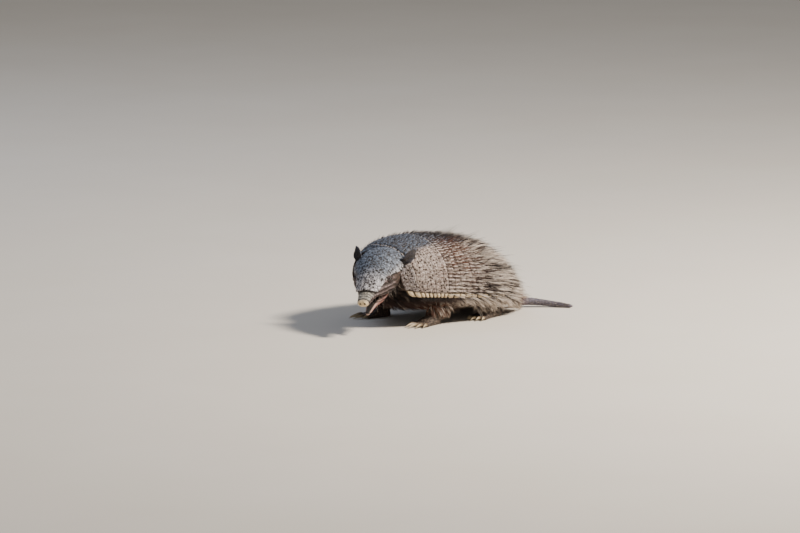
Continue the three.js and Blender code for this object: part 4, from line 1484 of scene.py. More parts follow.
        fold = ripple((SPINE.find(points)[0] + 0.25 * points[:, 2]) / 2.6 + 1.2 * noise(points, 14, 3))
        leg_fold = ripple(points[:, 2] / 1.9 + 1.4 * noise(points, 11, 5))
        cheek = ripple((local[:, 1] * 0.25 + local[:, 2] * 1.3) / 2.8 + 1.5 * noise(points, 10, 8))
        wrinkle = ripple(local[:, 1] / 1.5 + 0.9 * noise(points, 4, 6))
        border, _, tone = cells(points, 3.3, 2)
        scale = ease(0.0, 0.28, border)
        wart_border, _, wart_tone = cells(points, 8.0, 9)
        wart = ease(0.25, 0.5, wart_border) * (wart_tone > 0.35)
        cuff = snout * bump(-80.6, 0.7, local[:, 1] + 0.15 * (local[:, 2] + 20))
        cheeks = face * (1 - snout) * ease(6, 1, local[:, 2]) * eye.off()
        reliefs = (
            (0.75, fold, 0.6, neck),
            (0.45, leg_fold, 0.6, leg * (1 - foot)),
            (0.42, scale, 0.6, foot * ease(0.8, 3.0, points[:, 2])),
            (0.6, wart, 0.0, share[Flesh.TRUNK]),
            (1.5, cheek, 0.6, cheeks),
            (0.6, wrinkle, 0.6, snout * (1 - pad)),
            (-0.6, cuff, 0.0, 1.0),
            (0.3, scale, 0.6, face),
            (0.35, noise(points, 6, 12), 0.0, (1 - foot) * (1 - face)),
            (1.0, nose, 0.0, 1.0),
        )
        height = sum(deep * (pattern - middle) * where for deep, pattern, middle, where in reliefs)
        points = points + height[:, None] * normals
        points[:, 2] = np.maximum(points[:, 2], 0.05)
        skin.data.vertices.foreach_set("co", np.ascontiguousarray(points * MM, dtype=np.float32).ravel())
        skin.data.update()

        folded = np.where(neck > 0.5, fold, ease(0.1, 0.8, np.where(snout > 0.5, wrinkle, cheek)))
        scaly = np.where(face > 0.5, np.minimum(folded, 0.3 + 0.7 * scale), folded)
        fields = {
            "ear": share[Flesh.EAR],
            # where the ears' rims take a painted highlight
            "ear_rim_highlight": np.maximum(*(ear.rim(local) for ear in EARS)) * share[Flesh.EAR],
            "foot": foot,
            "neck": neck,
            # nape: the upward-facing skin of the neck, where a bluish sky sheen is painted
            "nape": neck * ease(0.1, 0.6, normals[:, 2]),
            "face": face,
            "snout": bare,
            # ridge: the crests of the cheek folds, where a highlight is painted
            "ridge": face * (1 - bare) * ease(0.72, 1.0, cheek) * eye.off(),
            "lip": lip * share[Flesh.JAW],
            "pad": pad,
            "jaw": share[Flesh.JAW] * ease(-16, -26, local[:, 1]),
            # dark: painted shade in the nostril holes and inside the mouth
            "dark": np.maximum(ease(-0.3, -1.2, nose), mouth_shade),
            # crease: the hollows of folds, scales and the snout's cuff, where shade is painted
            "crease": np.maximum(1 - np.where(foot > 0.5, scale, scaly), cuff),
            "lid": eye.lids(),
            "tone": tone,
            "ruddy": Markings.ruddy(points),
        }
        set_fields(skin, fields)


@dataclass
class SkinSurface:
    """The finished skin as arrays, for the coat to grow on."""

    points: Array
    normals: Array
    triangles: Array
    near: dict[Flesh, Array]
    axis_height: float = 62.0
    girth: float = 42.0

    @classmethod
    def read(cls, skin: Piece, near: Callable[[Array], dict[Flesh, Array]]) -> SkinSurface:
        """Reads the mesh and measures how near each vertex is to each part."""
        skin.data.calc_loop_triangles()
        flat = np.empty(len(skin.data.loop_triangles) * 3, dtype=np.int32)
        skin.data.loop_triangles.foreach_get("vertices", flat)
        points = vertex_places(skin)
        return cls(points, vertex_normals(skin), flat.reshape(-1, 3), near(points))

    def share(self, *parts: Flesh) -> Array:
        """1 at vertices that belong to one of the parts, fading over a few millimetres."""
        first = np.min(np.stack(list(self.near.values())), axis=0)
        own = np.min(np.stack([self.near[part] for part in parts]), axis=0)
        return ease(5.0, 1.0, own - first)

    def roots(self, density: Array, spacing: float, lie: Callable[[Array], Array], seed: int) -> Roots:
        """Scatters roots over the skin by area and density, with hair that lies along a flow.

        Args:
            density: 0..1 for each vertex.
            spacing: distance between roots where the density is 1.
            lie: the flow at given places.
            seed: another seed scatters them in another way.
        Returns:
            The roots, unwrapped by the angle about the body's own axis and the distance along it.
        """
        rng = np.random.default_rng(seed)
        corners = self.points[self.triangles]
        area = norm(np.cross(corners[:, 1] - corners[:, 0], corners[:, 2] - corners[:, 0])) / 2
        total = np.cumsum(area * density[self.triangles].mean(axis=1))
        pick = np.searchsorted(total, rng.random(int(total[-1] / spacing**2)) * total[-1])
        a, b = rng.random((2, len(pick), 1))
        a, b = np.where(a + b > 1, 1 - a, a), np.where(a + b > 1, 1 - b, b)
        share = np.stack([1 - a - b, a, b], axis=1)
        points = np.sum(corners[pick] * share, axis=1)
        normals = unit(np.sum(self.normals[self.triangles[pick]] * share, axis=1))
        flow = lie(points)
        lies = unit(flow - normals * np.sum(flow * normals, axis=1, keepdims=True))
        along, side = SPINE.find(points)
        around = self.girth * np.arctan2(side, self.axis_height - points[:, 2])
        return Roots(points, normals, lies, np.stack([around, along + 0.35 * points[:, 2]], axis=1))


# ---------------------------------------------------------------- finishes


def colour(code: str) -> tuple[float, float, float, float]:
    """The linear colour for a six-figure code."""
    parts = [int(code[k : k + 2], 16) / 255 for k in (0, 2, 4)]
    linear = [part / 12.92 if part < 0.04045 else ((part + 0.055) / 1.055) ** 2.4 for part in parts]
    return linear[0], linear[1], linear[2], 1.0


@dataclass(frozen=True)
class Tree:
    """Short ways to add and join the nodes of one tree."""

    tree: bpy.types.NodeTree

    def fill(self, socket: Socket, value: object) -> None:
        """Links a socket to another one, or sets it to a value."""
        if isinstance(value, Socket):
            self.tree.links.new(value, socket)
        else:
            socket.default_value = value

    def add(self, kind: str, inputs: dict | None = None, **settings: object) -> bpy.types.Node:
        """Adds a node, sets it up, and fills its inputs."""
        node = self.tree.nodes.new(kind)
        for key, value in settings.items():
            setattr(node, key, value)
        for key, value in (inputs or {}).items():
            self.fill(node.inputs[key], value)
        return node

    def read(self, name: str) -> Socket:
        """A number stored on the mesh."""
        return self.add("ShaderNodeAttribute", attribute_name=name).outputs["Fac"]

    def sized(self, size: float) -> dict[str, object]:
        """The inputs of a pattern on the object whose figures are about `size` millimetres."""
        return {"Vector": self.add("ShaderNodeTexCoord").outputs["Object"], "Scale": 1 / (size * MM)}

    def noise(self, size: float, detail: float = 3.0) -> Socket:
        """Noise whose blobs are about `size` millimetres."""
        inputs = {**self.sized(size), "Detail": detail, "Roughness": 0.55}
        return self.add("ShaderNodeTexNoise", inputs).outputs["Fac"]

    def pebbles(self, size: float) -> Socket:
        """The distance to the nearest border of packed cells of that size."""
        node = self.add("ShaderNodeTexVoronoi", self.sized(size), feature="DISTANCE_TO_EDGE")
        return node.outputs["Distance"]

    def math(self, operation: str, *values: Socket | float) -> Socket:
        """A sum, product or the like, held in 0..1."""
        inputs = dict(enumerate(values))
        return self.add("ShaderNodeMath", inputs, operation=operation, use_clamp=True).outputs[0]

    def times(self, first: Socket, second: Socket | float) -> Socket:
        """The product of two masks."""
        return self.math("MULTIPLY", first, second)

    def band(self, value: Socket, low: float, high: float) -> Socket:
        """0 at `low`, 1 at `high`, with a smooth way between."""
        inputs = {"Value": value, "From Min": low, "From Max": high}
        return self.add("ShaderNodeMapRange", inputs, interpolation_type="SMOOTHSTEP").outputs["Result"]

    def mix(self, share: Socket, first: Socket | str, second: Socket | str) -> Socket:
        """A colour between two, which are sockets or colour codes."""
        node = self.add("ShaderNodeMix", {"Factor": share}, data_type="RGBA")
        sockets = [socket for socket in node.inputs if socket.type == "RGBA"]
        for socket, value in zip(sockets, (first, second)):
            self.fill(socket, colour(value) if isinstance(value, str) else value)
        return next(socket for socket in node.outputs if socket.type == "RGBA")

    def lay(
        self, base: Socket | str, mask: str, over: Socket | str, strength: Socket | float = 1.0
    ) -> Socket:
        """Lays one colour over another where a stored mask is high."""
        share = self.read(mask)
        if strength != 1.0:
            share = self.times(share, strength)
        return self.mix(share, base, over)

    def dim(self, base: Socket, value: float) -> Socket:
        """A darker shade of a colour."""
        return self.add("ShaderNodeHueSaturation", {"Color": base, "Value": value}).outputs[0]

    def toned(self, base: Socket, value: float) -> Socket:
        """A colour that is darker where the stored tone is low."""
        return self.mix(self.read("tone"), self.dim(base, value), base)

    def patches(self, size: float, low: float, share: float) -> Socket:
        """Worn patches of about `size` millimetres."""
        return self.times(self.band(self.noise(size), low, 0.6), share)

    def gloss(self, share: Socket, low: float, high: float = 0.85) -> Socket:
        """A roughness that goes from one value to another with a mask."""
        inputs = {"Value": share, "To Min": low, "To Max": high}
        return self.add("ShaderNodeMapRange", inputs).outputs["Result"]

    def group(self, tree: bpy.types.NodeTree, **inputs: object) -> bpy.types.Node:
        """Places a shared group with its own values."""
        node = self.add("ShaderNodeGroup")
        node.node_tree = tree
        for key, value in inputs.items():
            self.fill(node.inputs[key.capitalize()], value)
        return node


def shared_group(
    name: str, inputs: dict[str, tuple[str, object]], outputs: dict[str, str]
) -> tuple[Tree, dict[str, Socket], dict[str, Socket]]:
    """Starts a shader group.

    Args:
        name: the group's name.
        inputs: for each input, its kind of socket and its first value.
        outputs: for each output, its kind of socket.
    Returns:
        The tree, its input sockets and its output sockets, by name.
    """
    tree = bpy.data.node_groups.new(name, "ShaderNodeTree")
    for key, (kind, value) in inputs.items():
        tree.interface.new_socket(key, in_out="INPUT", socket_type=kind).default_value = value
    for key, kind in outputs.items():
        tree.interface.new_socket(key, in_out="OUTPUT", socket_type=kind)
    source, drain = tree.nodes.new("NodeGroupInput"), tree.nodes.new("NodeGroupOutput")
    given, out = {key: source.outputs[key] for key in inputs}, {key: drain.inputs[key] for key in outputs}
    return Tree(tree), given, out


@dataclass(frozen=True)
class SharedEffects:
    """Groups that more than one finish uses."""

    weather: bpy.types.NodeTree
    grain: bpy.types.NodeTree

    @classmethod
    def build(cls) -> SharedEffects:
        """Makes the groups once."""
        return cls(cls.build_weather(), cls.build_grain())

    @staticmethod
    def build_weather() -> bpy.types.NodeTree:
        """Blotches a colour, and lays dust in its hollows."""
        tree, given, out = shared_group(
            "weather",
            {
                "Base": ("NodeSocketColor", (0.5, 0.5, 0.5, 1)),
                "Hollow": ("NodeSocketFloat", 0.0),
                "Dust": ("NodeSocketColor", (0.5, 0.42, 0.32, 1)),
                "Amount": ("NodeSocketFloat", 0.2),
            },
            {"Color": "NodeSocketColor"},
        )
        blotch = tree.band(tree.noise(9.0, 4.0), 0.3, 0.72)
        mottled = tree.mix(blotch, tree.dim(given["Base"], 0.78), given["Base"])
        speck = tree.band(tree.noise(1.4, 2.0), 0.42, 0.7)
        share = tree.times(given["Amount"], tree.math("ADD", speck, given["Hollow"]))
        tree.fill(out["Color"], tree.mix(share, mottled, given["Dust"]))
        return tree.tree

    @staticmethod
    def build_grain() -> bpy.types.NodeTree:
        """A fine leathery relief: small cells with noise over them."""
        tree, given, out = shared_group(
            "grain",
            {"Cells": ("NodeSocketFloat", 0.6), "Grit": ("NodeSocketFloat", 0.4)},
            {"Height": "NodeSocketFloat"},
        )
        cell = tree.times(tree.band(tree.pebbles(0.9), 0.0, 0.22), given["Cells"])
        grit = tree.times(tree.noise(0.35), given["Grit"])
        tree.fill(out["Height"], tree.math("ADD", cell, grit))
        return tree.tree


def material(name: str) -> tuple[bpy.types.Material, Tree, bpy.types.Node]:
    """A new material with its tree and its surface shader."""
    made = bpy.data.materials.new(name)
    made.use_nodes = True
    return made, Tree(made.node_tree), made.node_tree.nodes["Principled BSDF"]


Painted = tuple[Socket, Socket | float, Socket | None]


@dataclass(frozen=True)
class Finish:
    """A finish that the shared effects weather and roughen. Each kind paints its own colours."""

    effects: SharedEffects
    name: str = "finish"
    roughness: float = 0.5
    specular: float = 0.45
    dust: str = "a08a70"
    dusty: float = 0.1
    cells: float = 0.5
    grit: float = 0.5
    relief: float = 0.35
    relief_depth: float = 0.0003

    def paint(self, tree: Tree) -> Painted:
        """The colour, how deep in a hollow each point is, and its roughness where that varies."""
        raise NotImplementedError

    def furrowed(self, tree: Tree, base: Socket, furrow: str) -> Painted:
        """What `paint` gives when the grooves are dark, deep and dull; the dark is partly the grooves' own
        colour and partly painted shade.
        """
        groove = tree.read("groove")
        return tree.mix(groove, base, furrow), groove, tree.gloss(groove, self.roughness)

    def build(self) -> bpy.types.Material:
        """Builds the material from the fields that its pieces carry."""
        made, tree, shader = material(self.name)
        base, hollow, rough = self.paint(tree)
        weather = tree.group(self.effects.weather, base=base, hollow=hollow, amount=self.dusty)
        weather.inputs["Dust"].default_value = colour(self.dust)
        grain = tree.group(self.effects.grain, cells=self.cells, grit=self.grit)
        relief = {"Height": grain.outputs[0], "Strength": self.relief, "Distance": self.relief_depth}
        rough_normal = tree.add("ShaderNodeBump", relief).outputs["Normal"]
        tree.fill(shader.inputs["Base Color"], weather.outputs["Color"])
        tree.fill(shader.inputs["Normal"], rough_normal)
        shader.inputs["Roughness"].default_value = self.roughness
        if rough is not None:
            tree.fill(shader.inputs["Roughness"], rough)
        shader.inputs["Specular IOR Level"].default_value = self.specular
        return made


@dataclass(frozen=True)
class PlateFinish(Finish):
    """Horn of the armour: pale worn figures with painted highlight over dark furrows with painted shade,
    ruddy on the back and slate on the crest, with painted sky sheen and shade.
    """

    name: str = "armour_horn"
    # furrow: dark of the grooves and pits, partly their own colour and partly painted shade
    furrow: str = "120c0a"
    flank: str = "9b857c"
    back: str = "6c4438"
    rear: str = "3d302a"
    # dark blue slate of the crest: its blue is painted sky sheen, its darkness partly painted shade
    crest: str = "262e3c"
    # pale raised figures: partly wear and partly painted highlight
    worn: str = "e6d8cf"
    # pale bluish grey of worn granules on the crest: wear, tinted with painted sky sheen
    worn_crest_sky_sheen: str = "76849b"
    margin: str = "e8d0a8"
    worn_share: float = 0.68

    def paint(self, tree: Tree) -> Painted:
        """Regions first, with the crest's painted sky sheen and shade, then each scute's tone, then what is
        worn pale, with painted highlight, then the furrows, with painted shade.
        """
        base = self.flank
        for mask, code in (("rear", self.rear), ("back", self.back), ("crest", self.crest)):
            base = tree.lay(base, mask, code)
        base = tree.toned(base, 0.7)
        # the crest's worn granules take a bluish painted sky sheen
        worn = tree.lay(self.worn, "crest", self.worn_crest_sky_sheen)
        base = tree.lay(base, "raised", worn, tree.patches(3.2, 0.25, self.worn_share))
        base = tree.lay(base, "edge", self.worn, 0.7)
        base = tree.lay(base, "margin", self.margin, 0.9)
        return self.furrowed(tree, base, self.furrow)


@dataclass(frozen=True)
class ShieldFinish(Finish):
    """Horn of the head shield: slate granules tinted with painted bluish sky sheen, paler low down, with dark
    pits that are partly painted shade.
    """

    name: str = "head_horn"
    roughness: float = 0.42
    specular: float = 0.55
    dusty: float = 0.04
    cells: float = 0.6
    # pit: dark of the pits, partly their own colour and partly painted shade
    pit: str = "0a0b10"
    # slate: the dark grey horn, tinted blue as painted sky sheen
    slate: str = "2b3240"
    low: str = "a8a0a6"
    # pale bluish grey of worn granules: wear and painted highlight, tinted blue as painted sky sheen
    worn: str = "8b98ad"
    worn_low: str = "f6f2f2"
    worn_share: float = 0.75

    def paint(self, tree: Tree) -> Painted:
        """Slate with its painted sky sheen to pale by height, then each granule's tone, then what is worn,
        with painted highlight, then the pits, with painted shade.
        """
        base = tree.toned(tree.lay(self.slate, "low", self.low), 0.6)
        patches = tree.patches(2.6, 0.15, self.worn_share)
        worn = tree.lay(self.worn, "low", self.worn_low)
        base = tree.lay(base, "raised", worn, patches)
        base = tree.lay(base, "edge", worn, 0.15)
        return self.furrowed(tree, base, self.pit)


@dataclass(frozen=True)
class HideFinish(Finish):
    """Bare hide: brown leather, charcoal ears, a beige snout and a pinkish jaw and lids, with painted light:
    shade in the creases, nostrils and mouth and on the face and neck, highlights on the ear rims and fold
    ridges, and sky sheen on top of the neck.
    """

    name: str = "hide"
    roughness: float = 0.66
    pad_roughness: float = 0.45
    specular: float = 0.35
    cells: float = 0.7
    grit: float = 0.4
    relief: float = 0.6
    leather: str = "45352e"
    # crease: near black painted shade in the skin's creases
    crease: str = "140e0d"
    lid: str = "584a4c"
    # near black painted shade for the nostrils and the inside of the mouth
    dark: str = "0d0808"
    ear: str = "1f1d26"
    # bluish grey on the ear rims: painted highlight
    ear_rim_highlight: str = "5f6779"
    regions: tuple[tuple[str, str], ...] = (
        ("ruddy", "6e4330"),
        # face and neck: dark brown hide, darkened further as painted shade under the head
        ("face", "4f3f3d"),
        ("neck", "33292a"),
        # nape: bluish grey on the upward faces of the neck, painted sky sheen
        ("nape", "6a7282"),
        ("foot", "6c5c50"),
        ("jaw", "8d5f55"),
        ("lip", "c7a596"),
        # ridge: paler crests of the cheek folds, a painted highlight
        ("ridge", "9c8a8b"),
        ("snout", "b7b2a6"),
        ("pad", "e6cda2"),
    )

    def paint(self, tree: Tree) -> Painted:
        """Regions over leather, then the lids and ears with the painted rim highlight, the painted shade of
        the creases, and the painted shade in the nostrils and mouth.
        """
        base = self.leather
        for mask, code in self.regions:
            base = tree.lay(base, mask, code)
        base = tree.lay(base, "lid", self.lid, 0.8)
        ear = tree.lay(self.ear, "ear_rim_highlight", self.ear_rim_highlight)
        base = tree.lay(base, "ear", ear)
        pad = tree.read("pad")
        # painted shade in the creases, but not on the nose pad
        crease = tree.times(tree.read("crease"), tree.math("SUBTRACT", 0.95, pad))
        base = tree.mix(tree.math("POWER", crease, 1.2), base, self.crease)
        return tree.lay(base, "dark", self.dark), 0.0, tree.gloss(pad, self.roughness, self.pad_roughness)


@dataclass(frozen=True)
class TailFinish(Finish):
    """The tail's scutes: ruddy at the root, then purplish grey with pale tips."""

    name: str = "tail_horn"
    roughness: float = 0.55
    root: str = "8c5644"
    length: str = "373144"
    worn: str = "a29db0"
    furrow: str = "171011"

    def paint(self, tree: Tree) -> Painted:
        """Root to tip, then each scute's tone, its worn tip and its furrow."""
        groove = tree.read("groove")
        base = tree.mix(tree.band(tree.read("along"), 0.2, 0.5), self.root, self.length)
        base = tree.lay(tree.toned(base, 0.66), "raised", self.worn, 0.4)
        return tree.mix(tree.band(groove, 0.45, 1.0), base, self.furrow), groove, None


@dataclass(frozen=True)
class ClawFinish(Finish):
    """Claw horn: brownish at the root and yellowish grey towards a worn tip."""

    name: str = "claw_horn"
    roughness: float = 0.38
    dusty: float = 0.2
    dust: str = "8a7558"
    cells: float = 0.1
    grit: float = 0.8
    relief: float = 0.25
    root: str = "4c3c31"
    tip: str = "b3a080"

    def paint(self, tree: Tree) -> Painted:
        """Root to tip."""
        return tree.mix(tree.band(tree.read("along"), 0.0, 0.6), self.root, self.tip), 0.0, None


@dataclass(frozen=True)
class EyeFinish:
    """A wet, almost black eye with a dark brown iris."""

    name: str = "eyeball"
    pupil: str = "050404"
    iris: str = "22120a"
    white: str = "1a1210"
    roughness: float = 0.06
    coat_roughness: float = 0.03

    def build(self) -> bpy.types.Material:
        """Builds the material from the angle off the line of sight."""
        made, tree, shader = material(self.name)
        polar = tree.read("polar")
        base = tree.mix(tree.band(polar, 0.22, 0.3), self.pupil, self.iris)
        base = tree.mix(tree.band(polar, 0.62, 0.75), base, self.white)
        flecks = tree.times(tree.noise(0.5, 2.0), 0.3)
        tree.fill(shader.inputs["Base Color"], tree.mix(flecks, base, self.pupil))
        shader.inputs["Roughness"].default_value = self.roughness
        shader.inputs["Coat Weight"].default_value = 1.0
        shader.inputs["Coat Roughness"].default_value = self.coat_roughness
        return made


@dataclass(frozen=True)
class HairFinish:
    """Hair: a dark root, a brown shaft and a cream tip, by how pale and how ruddy the place is."""

    name: str = "hair"
    root: str = "120d0b"
    shaft: str = "262022"
    ruddy: str = "74432a"
    tip: str = "e8d6c4"
    pale: str = "f8eade"
    roughness: float = 0.55
    specular: float = 0.3

    def build(self) -> bpy.types.Material:
        """Builds the material from the fields that the tufts carry."""
        made, tree, shader = material(self.name)
        reach, pale, tone = tree.read("reach"), tree.read("pale"), tree.read("tone")
        shaft = tree.lay(self.shaft, "ruddy", self.ruddy)
        shaft = tree.mix(tree.band(pale, 0.45, 1.0), shaft, self.pale)
        tipped = tree.times(tree.band(reach, 0.45, 0.95), tree.band(pale, 0.12, 0.6))
        base = tree.mix(tree.band(reach, 0.05, 0.5), self.root, shaft)
        base = tree.mix(tipped, base, self.tip)
        tree.fill(shader.inputs["Base Color"], tree.mix(tone, tree.dim(base, 0.48), base))
        shader.inputs["Roughness"].default_value = self.roughness
        shader.inputs["Specular IOR Level"].default_value = self.specular
        return made


# ---------------------------------------------------------------- coat


STRAND_ANGLES = np.radians([90, 210, 330])


@dataclass(frozen=True)
class Hair:
    """One kind of hair: sizes in millimetres, angles in degrees."""

    width: float
    lift: float
    strands: int = 4
    spread: float = 0.9
    fan: float = 9.0
    droop: float = 0.3
    hold: float = 0.35
    clump: float = 0.0
    segments: int = 3
    buried: float = 0.4
    patch_size: float = 0.003

    def grow(self, name: str, roots: Roots, length: Array, pale: Array, ruddy: Array, seed: int) -> Piece:
        """Grows a tuft on each root.

        Args:
            name: the piece's name.
            roots: where the tufts grow.
            length: each tuft's length.
            pale: how pale each tuft is.
            ruddy: how ruddy each tuft is.
            seed: another seed jitters the strands in another way.
        Returns:
            The tufts as one piece, each with its own patch of the bake map.
        """
        rng = np.random.default_rng(seed)
        points = self.strand_points(roots, length, rng)
        total, per, _ = points.shape
        piece = add_piece(name, points, self.faces(total))
        reach = np.append(np.repeat(self.shares()[:-1], len(STRAND_ANGLES)), 1.0)
        set_fields(piece, {"reach": np.broadcast_to(reach, (total, per))})
        held = {"pale": pale, "ruddy": ruddy, "tone": rng.random(len(length))}
        set_fields(piece, {key: np.repeat(values, self.strands * per) for key, values in held.items()})
        self.lay_patches(piece, roots.patch, reach)
        log.info("%s: %d tufts, %d triangles", name, len(length), total * (6 * self.segments - 2))
        return piece

    def shares(self) -> Array:
        """How far along a strand each of its rings is, and its tip."""
        return np.linspace(0, 1, self.segments + 1)

    def strand_points(self, roots: Roots, length: Array, rng: np.random.Generator) -> Array:
        """The points of three-sided strands that start at `lift` and bend over towards their lie."""
        total = len(roots.points) * self.strands
        normal, lie = (np.repeat(held, self.strands, axis=0) for held in (roots.normals, roots.lies))
        side = np.cross(normal, lie)
        shift = rng.normal(0, self.spread / 2, (total, 2, 1))
        root = np.repeat(roots.points, self.strands, axis=0)
        root = root + shift[:, 0] * lie + shift[:, 1] * side - self.buried * normal
        lift = np.radians(self.lift * rng.uniform(0.6, 1.3, (total, 1)))
        fan = np.radians(rng.normal(0, self.fan, (total, 1)))
        level = lie * np.cos(fan) + side * np.sin(fan)
        start = level * np.cos(lift) + normal * np.sin(lift)
        end = unit(level + self.hold * np.sin(lift) * normal - [0, 0, self.droop])
        size = (np.repeat(length, self.strands) * rng.uniform(0.7, 1.15, total))[:, None, None]
        t = self.shares()[None, :, None]
        start, end = start[:, None], end[:, None]
        line = root[:, None] + size * (t * start + t**2 / 2 * (end - start))
        whole = line.reshape(-1, self.strands, self.segments + 1, 3)
        line = (whole + self.clump * t**1.5 * (whole.mean(axis=1, keepdims=True) - whole)).reshape(line.shape)
        ahead = unit(start + t * (end - start))
        across = unit(np.cross(ahead, normal[:, None]))
        above = np.cross(across, ahead)
        radius = (self.width / 2 * (1 - t**1.8) * rng.uniform(0.75, 1.2, (total, 1, 1)))[:, :-1, None]
        cosine, sine = np.cos(STRAND_ANGLES)[:, None], np.sin(STRAND_ANGLES)[:, None]
        ring = cosine * across[:, :-1, None] + 0.75 * sine * above[:, :-1, None]
        rings = (line[:, :-1, None] + radius * ring).reshape(total, -1, 3)
        points = np.concatenate([rings, line[:, -1:]], axis=1)
        points[..., 2] = np.maximum(points[..., 2], 0.15)
        return points

    def faces(self, total: int) -> list[Array]:
        """The faces of every strand: a base, the sides and three that meet at the tip."""
        start = (np.arange(total) * (self.segments * 3 + 1))[:, None]
        sides = grid_faces(self.segments, 3, closed=True)
        last = 3 * (self.segments - 1)
        tips = last + np.array([[0, 1, 3], [1, 2, 3], [2, 0, 3]])
        base = np.array([[2, 1, 0]])
        return [(start[:, None] + shape).reshape(-1, shape.shape[1]) for shape in (base, sides, tips)]

    def lay_patches(self, piece: Piece, patch: Array, reach: Array) -> None:
        """Writes the OFBake map: each tuft is a small patch at its root's place on the unwrap."""
        low = patch.min(axis=0)
        place = 0.01 + 0.98 * (patch - low) / np.max(patch.max(axis=0) - low)
        sideways = np.append(np.tile(np.cos(STRAND_ANGLES), self.segments), 0.0)
        offset = self.patch_size / 2 * np.stack([sideways, 2 * reach - 1], axis=1)
        flat = (np.repeat(place, self.strands, axis=0)[:, None] + offset).reshape(-1, 2)
        corners = np.empty(len(piece.data.loops), dtype=np.int32)
        piece.data.loops.foreach_get("vertex_index", corners)
        layer = piece.data.uv_layers.new(name="OFBake")
        layer.uv.foreach_set("vector", flat[corners].astype(np.float32).ravel())


Flow = Callable[[Array], Array]


class Flows:
    """The way that fur lies at given places, for each part of the body."""

    @staticmethod
    def belly(points: Array) -> Array:
        """Backwards, outwards and down."""
        along, side = SPINE.find(points)
        out = SPINE.place(along, side + 1, 0) - SPINE.place(along, side, 0)
        return SPINE.rearward(points) + out * np.sign(side)[:, None] * 0.35 + [0, 0, -0.35]

    @staticmethod
    def leg(points: Array) -> Array:
        """Down, and a little backwards."""
        return 0.45 * SPINE.rearward(points) + [0, 0, -1.0]

    @staticmethod
    def neck(points: Array) -> Array:
        """Back from the head and down."""
        return np.array([0.0, 0.6, 0.0]) @ HEAD.at.turn.T + 0 * points + [0, 0, -0.9]

    @staticmethod
    def face(points: Array) -> Array:
        """Back from the nose."""
        return np.array([0.0, 1.0, -0.35]) @ HEAD.at.turn.T + 0 * points

    @staticmethod
    def foot(points: Array) -> Array:
        """Forwards over the toes."""
        return np.array([0.0, -1.0, -0.3]) + 0 * points


@dataclass(frozen=True)
class Fur:
    """Fur on one part of the skin: where it is dense, how far apart and how long, and how it lies."""

    name: str
    density: Array
    spacing: float
    shortest: float
    longest: float
    hair: Hair
    flow: Flow
    paler: float = 0.0


@dataclass(frozen=True)
class Bristles:
    """Bristles on one stretch of the back: the distance between rows and between tufts, and the hair."""

    name: str
    first: float
    last: float
    row: float
    spacing: float
    hair: Hair
    longer: float = 0.0


LOCK = Hair(0.62, 33, spread=1.1, fan=4, droop=0.05, hold=0.75, clump=0.7)
BRISTLES = (
    Bristles("bristles_front", -4, 66, 5.0, 5.2, replace(LOCK, width=0.5, lift=48, strands=2)),
    Bristles("bristles_middle", 62, 128, 4.4, 4.2, replace(LOCK, width=0.6, lift=34, strands=3)),
    Bristles("bristles_rear", 126, 178, 3.8, 3.9, replace(LOCK, segments=4)),
    Bristles("bristles_rump", 176, 218, 3.5, 3.6, replace(LOCK, segments=4)),
    Bristles("bristles_long", 96, 208, 13, 13, replace(LOCK, width=0.5, lift=46, strands=2, segments=5), 8.0),
)


